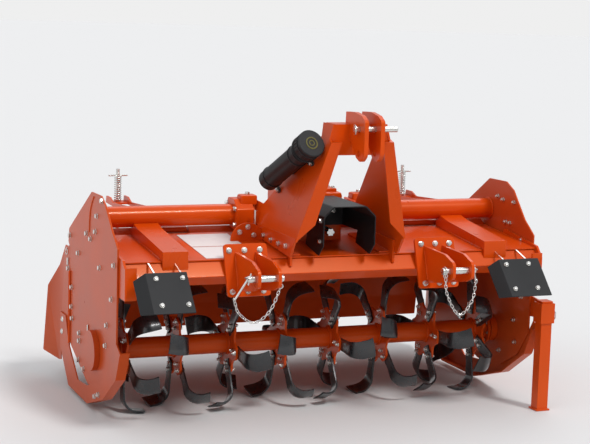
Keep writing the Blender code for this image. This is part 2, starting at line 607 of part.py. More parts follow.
def sides():
    for name, side in SIDES:
        low, high = sided(side, HALF_WIDTH, INNER)
        lift = 0.030 if side > 0 else 0.0
        plate = sheet("side", rounded(side_outline(lift), 0.010), low, high - low)
        hole = bar("bearing_hole", (side * 0.9, ROTOR_Y, AXIS_Z), (side * 1.1, ROTOR_Y, AXIS_Z), 0.062, 28)
        part(cut(plate, hole), "side_plate_" + name, ORANGE)

        wing_t = 0.005
        low, high = sided(side, HALF_WIDTH, HALF_WIDTH - wing_t)
        rows = [(0.605 + GAP, 0.195), (0.605 + GAP, DECK_Z - 0.064), (0.690, DECK_Z - 0.066),
                (WING_BEND_Y, 0.545), (0.905, 0.430), (0.945, 0.110), (WING_BEND_Y, 0.092),
                (SKID_SOLE[0][0] + 0.008, 0.100), (SKID_SOLE[0][0] + 0.008, 0.195)]
        wing = sheet("wing", rounded(rows, 0.008), low, high - low)
        bend(wing, WING_BEND_Y, side * WING_FLARE)
        part(wing, "rear_wing_" + name, ORANGE)

        low, high = sided(side, HALF_WIDTH + GAP + SKID_T, HALF_WIDTH + GAP)
        cheek = sheet("cheek", list(SKID_SOLE) + list(SKID_INNER), low, high - low)
        low, high = sided(side, HALF_WIDTH + GAP + SKID_T, HALF_WIDTH + GAP + SKID_T - SOLE_W)
        sole = sheet("sole", strip(SKID_SOLE, SOLE_T), low, high - low)
        part(join(cheek, sole), "skid_" + name, ORANGE)

    housing = bar("housing", (-HALF_WIDTH - GAP, ROTOR_Y, AXIS_Z), (-HALF_WIDTH - 0.024, ROTOR_Y, AXIS_Z), 0.088, 32)
    boss = bar("boss", (-HALF_WIDTH - 0.010, ROTOR_Y, AXIS_Z), (-HALF_WIDTH + 0.040, ROTOR_Y, AXIS_Z), 0.0612, 28)
    bore = bar("bore", (-HALF_WIDTH - 0.012, ROTOR_Y, AXIS_Z), (-HALF_WIDTH + 0.1, ROTOR_Y, AXIS_Z),
               STUB_R + BEARING_FIT)
    part(cut(join(housing, boss), bore), "rotor_bearing_left", ORANGE)

    start = HALF_WIDTH + GAP
    outline = []
    for centre, radius, first in (((TUBE_Y, TUBE_Z), CASE_R_TOP, 0.0), ((ROTOR_Y, AXIS_Z), CASE_R_LOW, pi)):
        for step in range(11):
            angle = first + pi * step / 10
            outline.append((centre[0] + radius * cos(angle), centre[1] + radius * sin(angle)))
    case = sheet("case", outline, start, CASE_T)
    ring = bar("ring", (start + 0.002, ROTOR_Y, AXIS_Z), (INNER - 0.030, ROTOR_Y, AXIS_Z), 0.0612, 28)
    bore = bar("bore", (start + 0.030, ROTOR_Y, AXIS_Z), (0.8, ROTOR_Y, AXIS_Z), STUB_R + BEARING_FIT)
    part(cut(join(case, ring), bore), "side_drive_case", ORANGE)


def bend(item, y, slope):
    """Fold a plate outwards behind an upright line."""
    shape = bmesh.new()
    shape.from_mesh(item.data)
    everything = shape.verts[:] + shape.edges[:] + shape.faces[:]
    bmesh.ops.bisect_plane(shape, geom=everything, plane_co=(0, y, 0), plane_no=(0, 1, 0))
    for vertex in shape.verts:
        vertex.co.x += max(0.0, vertex.co.y - y) * slope
    shape.to_mesh(item.data)
    shape.free()


# ---- Guards at the front corners -----------------------------------------------------------------
FLAP_TILT = radians(44.3)
FLAP_T = 0.006


def flaps():
    top_y, top_z = -0.322, DECK_Z - 0.028
    length, inner, outer = 0.188, 0.718, 0.904

    def on_flap(down, out):
        """A point in YZ, from its distance down the flap and out of the flap's front face."""
        return (top_y - down * sin(FLAP_TILT) - out * cos(FLAP_TILT),
                top_z - down * cos(FLAP_TILT) + out * sin(FLAP_TILT))

    for name, side in SIDES:
        low, high = sided(side, outer, inner)
        face = [(low, -length), (high, -length), (high, 0.0), (low, 0.0)]
        flap = sheet("flap", rounded(face, 0.010, 2), 0.0, FLAP_T, "Y")
        edges = ((inner, -1), (outer, 1)) if side < 0 else ((inner, -1),)
        for edge, way in edges:
            wing = [(0.0, -0.014), (0.0, -length + 0.012), (0.055, -length + 0.034), (0.055, -0.050)]
            lug = sheet("wing", wing, -FLAP_T / 2, FLAP_T)
            lug.data.transform(Matrix.Translation((side * (edge - way * 0.005), 0.001, 0.0))
                               @ Matrix.Rotation(-side * way * radians(35), 4, "Z"))
            join(flap, lug)
        flap = evaluated(flap)
        flap.data.transform(Matrix.Translation((0, top_y, top_z)) @ Matrix.Rotation(-FLAP_TILT, 4, "X"))
        for x in (0.742, 0.853):
            low, high = sided(side, x + 0.010, x - 0.010)
            arm = [on_flap(0.115, 0.005), on_flap(-0.006, 0.005), (BEAM_NOSE[0] + 0.0155, BEAM_NOSE[1] + 0.042),
                   (BEAM_NOSE[0] + 0.0155, BEAM_NOSE[1] + 0.007), (BEAM_NOSE[0] + 0.008, BEAM_NOSE[1] - 0.003),
                   on_flap(0.002, -0.004), on_flap(0.115, -0.004)]
            join(flap, cut(sheet("arm", arm, low, high - low), BEAM_KEEP))
        part(flap, "guard_flap_" + name, BLACK)


# ---- Stand ---------------------------------------------------------------------------------------
def stand():
    half = STAND_SIDE / 2
    sleeve_half = half + SLEEVE_FIT + SLEEVE_WALL
    top = 0.490
    sleeve = block("sleeve", (STAND_X - sleeve_half, STAND_Y - sleeve_half, top - 0.090),
                   (STAND_X + sleeve_half, STAND_Y + sleeve_half, top))
    rows = [(STAND_Y + half, top - 0.080), (STAND_Y + half, top - 0.004), (-0.140, top + 0.010),
            (-0.040, top + 0.030), (-0.010, top - 0.010), (-0.040, top - 0.100)]
    arm = sheet("arm", rounded(rows, 0.008), HALF_WIDTH + GAP, 0.008)
    channel = block("channel", (STAND_X - half - SLEEVE_FIT, STAND_Y - half - SLEEVE_FIT, top - 0.2),
                    (STAND_X + half + SLEEVE_FIT, STAND_Y + half + SLEEVE_FIT, top + 0.1))
    part(cut(join(sleeve, arm), channel), "stand_socket", ORANGE)
    stand_axis = axis_empty("stand_axis", (STAND_X, STAND_Y, 0))
    leg = block("leg", (STAND_X - half, STAND_Y - half, 0.0), (STAND_X + half, STAND_Y + half, STAND_LEG))
    part(leg, "stand_leg", ORANGE, stand_axis, (STAND_X, STAND_Y, 0))


# ---- Rear board ----------------------------------------------------------------------------------
def board():
    hinge = axis_empty("board_axis", (0, HINGE_Y, HINGE_Z))
    reach = INNER - 0.012
    path = [(HINGE_Y + 0.022, HINGE_Z - 0.004), (0.640, DECK_Z - 0.045), (0.735, DECK_Z - 0.085),
            (0.870, 0.440), (0.935, 0.300), (0.950, 0.190)]
    path = arc_path(path, 0.080)
    lug_top = ROD_PIVOT_Z
    panel = sheet("panel", strip(path, BOARD_T), -reach, 2 * reach)
    for low, high in knuckle_spans()[1::2]:
        join(panel, sheet("knuckle", knuckle_outline(HINGE_Y + 0.026), low, high - low))
    for side in (-1, 1):
        for offset in (-1, 1):
            middle = side * ROD_X + offset * 0.020
            ear = [(ROD_Y - 0.030, lug_top - 0.040), (ROD_Y + 0.030, lug_top - 0.050), (ROD_Y + 0.018, lug_top, 0.016),
                   (ROD_Y + 0.010, lug_top + 0.016, 0.012), (ROD_Y - 0.010, lug_top + 0.016, 0.012),
                   (ROD_Y - 0.018, lug_top, 0.016)]
            join(panel, sheet("ear", rounded(ear, 0.0), middle - 0.003, 0.006))
        hole = bar("hole", (side * ROD_X - 0.05, ROD_Y, lug_top), (side * ROD_X + 0.05, ROD_Y, lug_top),
                   0.006 + PIN_FIT, 16)
        cut(panel, hole)
    cut(panel, bar("bore", (-1.5, HINGE_Y, HINGE_Z), (1.5, HINGE_Y, HINGE_Z), HINGE_PIN_R + PIN_FIT, 16))
    part(panel, "tailboard", ORANGE, hinge, (0, HINGE_Y, HINGE_Z))
    pin = bar("pin", (-FRAME_HALF, HINGE_Y, HINGE_Z), (FRAME_HALF, HINGE_Y, HINGE_Z), HINGE_PIN_R, 16)
    part(pin, "hinge_pin", ZINC)

    shelf = GUIDE_Z
    for name, side in SIDES:
        centre = side * ROD_X
        pivot = (centre, ROD_Y, lug_top)
        rod_axis = axis_empty("rod_axis_" + name, pivot)
        rod = bar("rod", (centre, ROD_Y, lug_top - 0.004), (centre, ROD_Y, DECK_Z + ROD_TOP), ROD_R, 16)
        eye = bar("eye", (centre - 0.0155, ROD_Y, lug_top), (centre + 0.0155, ROD_Y, lug_top), 0.014, 20)
        cross = bar("cross", (centre - 0.045, ROD_Y, SPRING_TOP + 0.0045), (centre + 0.045, ROD_Y, SPRING_TOP + 0.0045),
                    0.004, 12)
        rivet = bar("rivet", (centre - 0.028, ROD_Y, lug_top), (centre + 0.028, ROD_Y, lug_top), 0.006, 16)
        part(join(rod, eye, cross, rivet), "board_rod_" + name, ZINC, rod_axis, pivot)

        plate = block("shelf", (centre - 0.046, ROD_Y - 0.045, shelf - 0.008), (centre + 0.046, ROD_Y + 0.040, shelf))
        for offset in (-1, 1):
            rows = [(TUBE_Y, TUBE_Z - 0.030), (TUBE_Y, TUBE_Z + 0.035), (ROD_Y - 0.080, shelf + 0.006),
                    (ROD_Y - 0.030, shelf + 0.024), (ROD_Y + 0.030, shelf + 0.024), (ROD_Y + 0.040, shelf - 0.008),
                    (ROD_Y - 0.200, shelf - 0.014), (TUBE_Y + 0.070, TUBE_Z - 0.024)]
            middle = centre + offset * 0.042
            join(plate, sheet("bracket_arm", rows, middle - 0.004, 0.008))
        guide = block("guide", (centre - ROD_R - 0.0025, ROD_Y - ROD_R - 0.0025, shelf - 0.1),
                      (centre + ROD_R + 0.0025, ROD_Y + ROD_R + 0.0095, shelf + 0.1))
        part(cut(plate, guide, TUBE_KEEP), "rod_guide_" + name, ORANGE)
        spring = bar("spring", (centre, ROD_Y, shelf + GAP), (centre, ROD_Y, SPRING_TOP), SPRING_R, 20)
        bore = bar("bore", (centre, ROD_Y, shelf - 0.1), (centre, ROD_Y, SPRING_TOP + 0.1), ROD_R + GAP * 2, 16)
        part(cut(spring, bore), "board_spring_" + name, ZINC, rod_axis, pivot)


# ---- Rotor ---------------------------------------------------------------------------------------
def gang_places():
    """X of each blade gang's flange."""
    reach = INNER - GANG_MARGIN
    return [-reach + 2 * reach * i / (GANG_COUNT - 1) for i in range(GANG_COUNT)]


def blade(side, angle, width=BLADE_W):
    """One L-shaped blade on a flange's face: a shank out from the flange and a tip turned sideways."""
    shank = block("shank", (0.0, -0.027, FLANGE_R * 0.55), (BLADE_T, 0.027, TIP_RADIUS - 0.020))
    tip = block("tip", (0.0, -width / 2, TIP_RADIUS - BLADE_T), (BLADE_REACH, width / 2, TIP_RADIUS))
    knee = block("knee", (0.0, -width / 2, TIP_RADIUS - 0.068), (BLADE_T, width / 2, TIP_RADIUS - 0.0002))
    for piece in (shank, tip, knee):
        piece.data.transform(Matrix.Translation((FLANGE_T / 2 - 0.0005, 0, 0)))
    join(shank, knee, tip)
    shape = evaluated(shank)
    if side < 0:
        shape.data.transform(Matrix.Rotation(pi, 4, "Z"))
    shape.data.transform(Matrix.Rotation(angle, 4, "X"))
    return shape


def evaluated(item):
    """A plain mesh object from one with modifiers."""
    bpy.context.view_layer.update()
    data = bpy.data.meshes.new_from_object(item.evaluated_get(bpy.context.evaluated_depsgraph_get()))
    made = bpy.data.objects.new(item.name, data)
    HELPERS.objects.link(made)
    return settle(made, item.name)


def rotor():
    centre = Vector((0, ROTOR_Y, AXIS_Z))
    spin = axis_empty("rotor_axis", centre)
    places = gang_places()
    end = places[-1] + 0.024
    tube = bar("tube", (-end, ROTOR_Y, AXIS_Z), (end, ROTOR_Y, AXIS_Z), ROTOR_TUBE_R, 28)
    stubs = bar("stubs", (-HALF_WIDTH - 0.008, ROTOR_Y, AXIS_Z), (HALF_WIDTH + 0.024, ROTOR_Y, AXIS_Z), STUB_R, 24)
    part(join(tube, stubs), "rotor_tube", ORANGE, spin, centre)
    for index, (x, phase) in enumerate(zip(places, GANG_PHASES)):
        bpy.ops.mesh.primitive_cylinder_add(vertices=6, radius=FLANGE_R, depth=FLANGE_T)
        flange = primitive("flange", Matrix.Rotation(pi / 2, 4, "Y"))
        step = 2 * pi / (2 * BLADES_PER_SIDE)
        outer = index in (0, GANG_COUNT - 1)
        for number in range(2 * BLADES_PER_SIDE):
            way = 1 if number % 2 else -1
            if outer:
                way = 1 if index == 0 else -1
            join(flange, blade(way, pi + radians(phase) + number * step))
        cut(flange, bar("bore", (-0.1, 0, 0), (0.1, 0, 0), ROTOR_TUBE_R + GAP, 28))
        gang = evaluated(flange)
        gang.data.transform(Matrix.Translation((x, ROTOR_Y, AXIS_Z)))
        part(gang, "blade_gang_%d" % (index + 1), BLADE, spin, (x, ROTOR_Y, AXIS_Z))


frame()
mast()
hitch()
drive()
sides()
flaps()
stand()
board()
rotor()
bpy.context.view_layer.update()
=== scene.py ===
import json
import math
import bpy
from mathutils import Matrix, Vector


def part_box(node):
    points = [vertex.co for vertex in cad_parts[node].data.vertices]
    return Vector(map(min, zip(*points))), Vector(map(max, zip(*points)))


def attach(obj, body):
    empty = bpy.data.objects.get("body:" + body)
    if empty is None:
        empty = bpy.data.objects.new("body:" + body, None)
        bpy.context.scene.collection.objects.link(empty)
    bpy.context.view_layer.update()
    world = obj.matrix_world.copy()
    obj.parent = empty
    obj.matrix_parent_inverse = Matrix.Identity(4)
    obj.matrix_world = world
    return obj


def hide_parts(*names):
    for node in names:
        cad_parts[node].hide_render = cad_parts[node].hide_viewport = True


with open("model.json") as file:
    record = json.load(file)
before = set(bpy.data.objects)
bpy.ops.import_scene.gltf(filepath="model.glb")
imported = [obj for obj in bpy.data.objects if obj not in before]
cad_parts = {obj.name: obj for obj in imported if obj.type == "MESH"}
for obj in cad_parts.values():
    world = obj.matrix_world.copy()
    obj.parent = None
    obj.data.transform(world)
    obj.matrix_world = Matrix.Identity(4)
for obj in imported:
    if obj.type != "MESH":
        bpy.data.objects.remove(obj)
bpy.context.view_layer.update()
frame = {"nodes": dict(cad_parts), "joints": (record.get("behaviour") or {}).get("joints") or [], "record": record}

# ---- Camera --------------------------------------------------------------------------------------
# A long lens, standing well back to the hitch side's left and a little above the mast, tipped down
# towards the middle of the machine, with a slight roll.
CAMERA_PLACE = Vector((-2.650, -6.458, 1.803))
CAMERA_YAW, CAMERA_TIP, CAMERA_ROLL = 0.3845, 0.1424, 0.0297
CAMERA_LENS = 95.27

camera_data = bpy.data.cameras.new("camera")
camera_data.sensor_width = 36.0
camera_data.lens = CAMERA_LENS
camera_data.clip_end = 200.0
camera = bpy.data.objects.new("camera", camera_data)
bpy.context.scene.collection.objects.link(camera)
ahead = Vector((math.sin(CAMERA_YAW) * math.cos(CAMERA_TIP),
                math.cos(CAMERA_YAW) * math.cos(CAMERA_TIP), -math.sin(CAMERA_TIP)))
level = Vector((math.cos(CAMERA_YAW), -math.sin(CAMERA_YAW), 0.0))
above = level.cross(ahead)
right = level * math.cos(CAMERA_ROLL) + above * math.sin(CAMERA_ROLL)
upward = above * math.cos(CAMERA_ROLL) - level * math.sin(CAMERA_ROLL)
camera.matrix_world = Matrix((
    (right.x, upward.x, -ahead.x, CAMERA_PLACE.x),
    (right.y, upward.y, -ahead.y, CAMERA_PLACE.y),
    (right.z, upward.z, -ahead.z, CAMERA_PLACE.z),
    (0.0, 0.0, 0.0, 1.0)))
bpy.context.scene.camera = camera


# ---- Studio: floor, sky and three lamps ----------------------------------------------------------
# A wide pale floor under a pale sky. Three broad suns keep the light even over the whole floor, so its
# far edge meets the sky without a line, and they leave the machine's own soft shadow.
class Socket:
    """One shader value, with the arithmetic that adds Math nodes for it."""

    def __init__(self, paint, link):
        self.paint = paint
        self.link = link

    def math(self, operation, *others):
        return self.paint.node("ShaderNodeMath", {"operation": operation}, [self, *others])

    def __add__(self, other):
        return self.math("ADD", other)

    def __radd__(self, other):
        return self.math("ADD", other)

    def __mul__(self, other):
        return self.math("MULTIPLY", other)

    def __rmul__(self, other):
        return self.math("MULTIPLY", other)

    def __sub__(self, other):
        return self.math("SUBTRACT", other)

    def __rsub__(self, other):
        return self.paint.node("ShaderNodeMath", {"operation": "SUBTRACT"}, [other, self])

    def __truediv__(self, other):
        return self.math("DIVIDE", other)

    def clamped(self):
        return self.paint.node("ShaderNodeClamp", {}, [self])


class Finish:
    """A material, or the world, and the one way its nodes are added."""

    def __init__(self, owner):
        self.owner = owner
        owner.use_nodes = True
        self.tree = owner.node_tree
        self.tree.nodes.clear()

    def node(self, kind, settings, values, output=0):
        made = self.tree.nodes.new(kind)
        for name, setting in settings.items():
            if name == "stops":
                ramp = made.color_ramp
                while len(ramp.elements) < len(setting):
                    ramp.elements.new(0.5)
                for element, (place, colour) in zip(ramp.elements, setting):
                    element.position = place
                    element.color = (*colour, 1.0)
            else:
                setattr(made, name, setting)
        pairs = values.items() if isinstance(values, dict) else enumerate(values)
        for name, value in pairs:
            if value is None:
                continue
            if isinstance(value, Socket):
                self.tree.links.new(value.link, made.inputs[name])
            else:
                made.inputs[name].default_value = value
        return Socket(self, made.outputs[output]) if made.outputs else None


def blend(paint, factor, first, second):
    """A colour between two others, each a socket or three numbers."""
    ends = [end if isinstance(end, Socket) else (*end, 1.0) for end in (first, second)]
    return paint.node("ShaderNodeMix", {"data_type": "RGBA"}, {0: factor, 6: ends[0], 7: ends[1]}, 2)


world = bpy.data.worlds.new("sky")
bpy.context.scene.world = world
sky = Finish(world)
SKY_SHOWN = 0.862
sky_height = sky.node("ShaderNodeSeparateXYZ", {}, [sky.node("ShaderNodeTexCoord", {}, [])], "Z")
sky_tone = sky.node("ShaderNodeValToRGB", {"stops": (
    (0.0, (0.40, 0.40, 0.40)), (0.50, (0.36, 0.36, 0.36)), (0.85, (0.80, 0.81, 0.84)))},
    [(sky_height * 0.5 + 0.5)])
sky_ray = sky.node("ShaderNodeLightPath", {}, [], "Is Camera Ray")
sky_shown = (sky_ray + sky.node("ShaderNodeLightPath", {}, [], "Is Transmission Ray")).clamped()
sky_colour = blend(sky, sky_shown, sky_tone, (SKY_SHOWN, SKY_SHOWN, SKY_SHOWN))
sky.node("ShaderNodeOutputWorld", {}, [sky.node("ShaderNodeBackground", {}, [sky_colour, 1.0])])

LAMPS = (("key", (0.30, -0.70, 0.95), 1.60, 12), ("fill", (-0.9, -0.45, 0.5), 0.40, 50),
         ("back", (0.5, 0.7, 0.8), 0.35, 30))
for lamp_name, lamp_from, strength, spread in LAMPS:
    lamp_data = bpy.data.lights.new(lamp_name, "SUN")
    lamp_data.energy = strength
    lamp_data.angle = math.radians(spread)
    lamp = bpy.data.objects.new(lamp_name, lamp_data)
    bpy.context.scene.collection.objects.link(lamp)
    lamp.rotation_mode = "QUATERNION"
    lamp.rotation_quaternion = Vector(lamp_from).to_track_quat("Z", "Y")

bpy.ops.object.select_all(action="DESELECT")
bpy.ops.mesh.primitive_circle_add(vertices=64, radius=90.0, fill_type="NGON", location=(0.0, 0.0, 0.0))
floor = bpy.context.active_object
floor.name = "floor"
floor_paint = Finish(bpy.data.materials.new("pale_floor"))
floor_shader = floor_paint.node("ShaderNodeBsdfDiffuse", {}, [(0.68, 0.68, 0.675, 1.0)])
floor_paint.node("ShaderNodeOutputMaterial", {}, [floor_shader])
floor.data.materials.append(floor_paint.owner)
bpy.context.scene.view_settings.view_transform = "Standard"


# ---- Welded frame and sheet metal ----------------------------------------------------------------
# Cut, folded and welded steel plate, sprayed with a glossy orange enamel. Each plate keeps its packed
# shape, with its corners broken a little so that they catch the light.
def noise(paint, place, scale, detail, rough=0.5):
    """Soft noise of the given scale, about 0.5."""
    return paint.node("ShaderNodeTexNoise", {}, {"Vector": place, "Scale": scale, "Detail": detail,
                                                 "Roughness": rough})


DUST_COLOUR = (0.42, 0.17, 0.07)
DUST_TOP = 0.60             # metres above the floor where the dust has thinned out
DUST_MOST = 0.22


def enamel(name, colour, depth, gloss):
    """Glossy sprayed enamel: slight colour drift, orange peel, and a film of dust that thickens low down."""
    paint = Finish(bpy.data.materials.new(name))
    place = paint.node("ShaderNodeTexCoord", {}, [], "Object")
    drift = noise(paint, place, 3.5, 3.0, 0.55)
    speck = noise(paint, place, 60.0, 4.0, 0.7)
    peel = noise(paint, place, 420.0, 1.0)
    height = paint.node("ShaderNodeSeparateXYZ", {}, [place], "Z")
    dust = ((DUST_TOP - height) * 1.1 * speck + (drift - 0.5) * 0.3).clamped() * DUST_MOST
    shade = blend(paint, (drift * 1.6 - 0.4).clamped(), [part * depth for part in colour], colour)
    tone = blend(paint, dust, shade, DUST_COLOUR)
    bump = paint.node("ShaderNodeBump", {}, {"Strength": 0.12, "Distance": 0.0006,
                                             "Height": peel + drift * 2.0})
    shader = paint.node("ShaderNodeBsdfPrincipled", {}, {
        "Base Color": tone, "Roughness": (0.24 + drift * 0.10 + dust * 0.9).clamped(), "Metallic": 0.0,
        "Specular IOR Level": 0.30 * gloss, "Specular Tint": (1.0, 0.62, 0.34, 1.0),
        "Coat Weight": 0.12 * gloss, "Coat Roughness": 0.08, "Normal": bump})
    paint.node("ShaderNodeOutputMaterial", {}, [shader])
    return paint.owner


ORANGE = enamel("orange_enamel", (0.68, 0.066, 0.002), 0.80, 1.0)
DULL_ORANGE = enamel("dull_orange_enamel", (0.60, 0.075, 0.012), 0.72, 0.45)


def chosen(item):
    """Selects only this object."""
    bpy.ops.object.select_all(action="DESELECT")
    item.select_set(True)
    bpy.context.view_layer.objects.active = item


def begun(operator, **settings):
    """The object that a primitive operator adds, with nothing else selected."""
    bpy.ops.object.select_all(action="DESELECT")
    operator(**settings)
    return bpy.context.active_object


def worked(item, *steps):
    """Runs edit-mode operators on the whole of one mesh. Each step is an operator and its settings."""
    chosen(item)
    bpy.ops.object.mode_set(mode="EDIT")
    for operator, settings in steps:
        bpy.ops.mesh.select_all(action="SELECT")
        operator(**settings)
    bpy.ops.object.mode_set(mode="OBJECT")
    return item


def placed(name, mesh, matrix):
    """A new object that holds a copy of the mesh, moved by the matrix."""
    item = bpy.data.objects.new(name, mesh.copy())
    bpy.context.scene.collection.objects.link(item)
    item.data.transform(matrix)
    return item


def edge_break(item, width, segments=2, angle=28):
    """Rounds the sharp edges of a welded mesh."""
    chosen(item)
    edges = item.modifiers.new("edges", "BEVEL")
    edges.width = width
    edges.segments = segments
    edges.limit_method = "ANGLE"
    edges.angle_limit = math.radians(angle)
    bpy.ops.object.modifier_apply(modifier=edges.name)
    return item


def dressed(item, name, finish, body, smooth=35):
    """Last step for every piece: name, finish, shading, slot, and the body it rides on."""
    item.name = name
    item.data.name = name
    item.data.materials.clear()
    item.data.materials.append(finish)
    chosen(item)
    bpy.ops.object.shade_smooth_by_angle(angle=math.radians(smooth))
    flat = item.modifiers.new("flat_faces", "WEIGHTED_NORMAL")
    flat.keep_sharp = True
    bpy.ops.object.modifier_apply(modifier=flat.name)
    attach(item, body)
    return item


WELD_REACH = 0.00002        # corners nearer than this are one corner
FLAT_WITHIN = 1.0           # degrees between facets that count as one face


def body_of(node):
    """The body that a node belongs to."""
    return next(body for body, members in frame["record"]["behaviour"]["bodies"].items() if node in members)


def broken_edges(node, width, finish):
    """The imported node's shape as one welded mesh with its sharp edges rounded, in place of the node."""
    item = placed(node + "_plate", frame["nodes"][node].data, Matrix.Identity(4))
    worked(item, (bpy.ops.mesh.remove_doubles, {"threshold": WELD_REACH}),
           (bpy.ops.mesh.dissolve_limited, {"angle_limit": math.radians(FLAT_WITHIN)}),
           (bpy.ops.mesh.customdata_custom_splitnormals_clear, {}))
    edge_break(item, width)
    dressed(item, node + "_plate", finish, body_of(node))
    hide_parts(node)
    return item


PLATES = {
    "front_beam": 0.0050, "beam_end_left": 0.0015, "beam_end_right": 0.0015, "hood_deck": 0.0010,
    "hood_strut_left": 0.0030, "hood_strut_right": 0.0030, "mast_leg_left": 0.0015, "mast_leg_right": 0.0015,
    "mast_foot_left": 0.0012, "mast_foot_right": 0.0012, "mast_head": 0.0020, "hitch_bracket_left": 0.0020,
    "hitch_bracket_right": 0.0020, "side_plate_left": 0.0015, "side_plate_right": 0.0015,
    "rear_wing_left": 0.0010, "rear_wing_right": 0.0010, "skid_left": 0.0012, "skid_right": 0.0012,
    "stand_socket": 0.0012, "stand_leg": 0.0030, "tailboard": 0.0008, "rod_guide_left": 0.0010,
    "rod_guide_right": 0.0010, "tube_clamp_left": 0.0020, "tube_clamp_right": 0.0020,
    "side_drive_case": 0.0040, "rotor_bearing_left": 0.0030, "cross_tube_left": 0.0008,
    "cross_tube_right": 0.0008, "rotor_tube": 0.0010, "gearbox": 0.0040}
for plate_node, plate_edge in PLATES.items():
    outer_skin = plate_node.startswith(("side_plate", "rear_wing", "skid", "rotor_bearing"))
    broken_edges(plate_node, plate_edge, DULL_ORANGE if outer_skin else ORANGE)

# ---- Bolts, nuts and washers ---------------------------------------------------------------------
# Zinc-plated hexagon bolts with plain washers, done up through the plates. One bolt is made, and every
# other is a copy of its mesh, turned to the face that it holds.
def metal(name, colour, rough, grain, stretch=(1.0, 1.0, 1.0)):
    """Plated or bare steel: a little colour drift, fine scratches and cloudy patches in its shine."""
    paint = Finish(bpy.data.materials.new(name))
    place = paint.node("ShaderNodeTexCoord", {}, [], "Object")
    turned = paint.node("ShaderNodeMapping", {}, {"Vector": place, "Scale": stretch})
    cloud = noise(paint, place, 25.0, 3.0)
    scratch = noise(paint, turned, grain, 5.0, 0.75)
    tone = blend(paint, (cloud * 1.5 - 0.25).clamped(), [part * 0.72 for part in colour], colour)
    bump = paint.node("ShaderNodeBump", {}, {"Strength": 0.25, "Distance": 0.0002, "Height": scratch})
    shader = paint.node("ShaderNodeBsdfPrincipled", {}, {
        "Base Color": tone, "Roughness": (rough + (scratch - 0.5) * 0.35 + (cloud - 0.5) * 0.2).clamped(),
        "Metallic": 1.0, "Normal": bump})
    paint.node("ShaderNodeOutputMaterial", {}, [shader])
    return paint.owner


ZINC = metal("zinc_plating", (0.80, 0.79, 0.75), 0.26, 180.0)
MACHINE_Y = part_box("front_beam")[0].y + 0.270      # the machine's own Y starts 270 mm behind the beam's nose
MACHINE_X = (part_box("mast_head")[0].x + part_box("mast_head")[1].x) / 2


def spot(x, y, z):
    """A place given from the hitch's centre plane, and from 270 mm behind the front beam's nose."""
    return Vector((x + MACHINE_X, y + MACHINE_Y, z))


def beside(x, y, z):
    """A place on a face whose X is known, with Y given from 270 mm behind the front beam's nose."""
    return Vector((x, y + MACHINE_Y, z))


def facing(way):
    """The turn that points +Z the given way."""
    return Vector((0, 0, 1)).rotation_difference(Vector(way).normalized()).to_matrix().to_4x4()


def settled(item, matrix):
    """Moves the object's own place, and the matrix after it, into its mesh."""
    item.data.transform(matrix @ item.matrix_world)
    item.matrix_world = Matrix.Identity(4)
    return item


def joined(items):
    """Several objects as one."""
    bpy.ops.object.select_all(action="DESELECT")
    for item in items:
        item.select_set(True)
    bpy.context.view_layer.objects.active = items[0]
    if len(items) > 1:
        bpy.ops.object.join()
    return bpy.context.view_layer.objects.active


def rod(radius, depth, place, towards, sides=20, rim=0.0):
    """A round bar whose middle is at the place and whose axis points the way given, its rims rounded."""
    item = begun(bpy.ops.mesh.primitive_cylinder_add, vertices=sides, radius=radius, depth=depth)
    if rim:
        edge_break(item, rim, 2, 50)
    return settled(item, Matrix.Translation(place) @ facing(towards))


def hexagon(across, depth, place, towards, rim):
    """A hexagon head or nut, chamfered on its outer face, standing on the place."""
    item = begun(bpy.ops.mesh.primitive_cylinder_add, vertices=6, radius=across / math.sqrt(3.0),
                 depth=depth, location=(0, 0, depth / 2))
    bpy.ops.object.mode_set(mode="EDIT")
    bpy.ops.mesh.select_all(action="DESELECT")
    bpy.ops.object.mode_set(mode="OBJECT")
    for face in item.data.polygons:
        face.select = face.normal.z > 0.9
    bpy.ops.object.mode_set(mode="EDIT")
    bpy.ops.mesh.inset(thickness=rim, depth=rim * 0.45)
    bpy.ops.object.mode_set(mode="OBJECT")
    edge_break(item, rim * 0.35, 1, 20)
    return settled(item, Matrix.Translation(place) @ facing(towards))


UP = (0, 0, 1)
WASHER_THICK = 0.0025
ACROSS_FLATS = 0.019


def bolt_master():
    """A bolt for a 12 mm shank: washer, head, and the raised ring on the head."""
    washer = rod(0.0125, WASHER_THICK, (0, 0, WASHER_THICK / 2), UP, 24, 0.0006)
    head = hexagon(ACROSS_FLATS, 0.0080, (0, 0, WASHER_THICK), UP, 0.0018)
    return joined([washer, head])


def nut_master():
    """The threaded side: washer, nut, and the end of the shank with its chamfer."""
    washer = rod(0.0125, WASHER_THICK, (0, 0, WASHER_THICK / 2), UP, 24, 0.0006)
    nut = hexagon(ACROSS_FLATS, 0.0100, (0, 0, WASHER_THICK), UP, 0.0018)
    shank = rod(0.0060, 0.0200, (0, 0, 0.0085), UP, 14, 0.0012)
    return joined([washer, nut, shank])


BOLT = bolt_master()
NUT = nut_master()
turn_count = 0


def copies(master, seats, scale=1.0):
    """One copy of the master mesh on every seat, a place and the way out of the face, as a list."""
    global turn_count
    made = []
    for place, out in seats:
        turn_count += 1
        spin = Matrix.Rotation(math.radians(turn_count * 37 % 60), 4, "Z")
        at = Matrix.Translation(place) @ facing(out) @ spin @ Matrix.Scale(scale, 4)
        made.append(placed("copy", master.data, at))
    return made


def bolted(name, seats, scale=1.0, master=BOLT):
    """One piece of plated bolts on the frame, all alike."""
    return dressed(joined(copies(master, seats, scale)), name, ZINC, "frame")


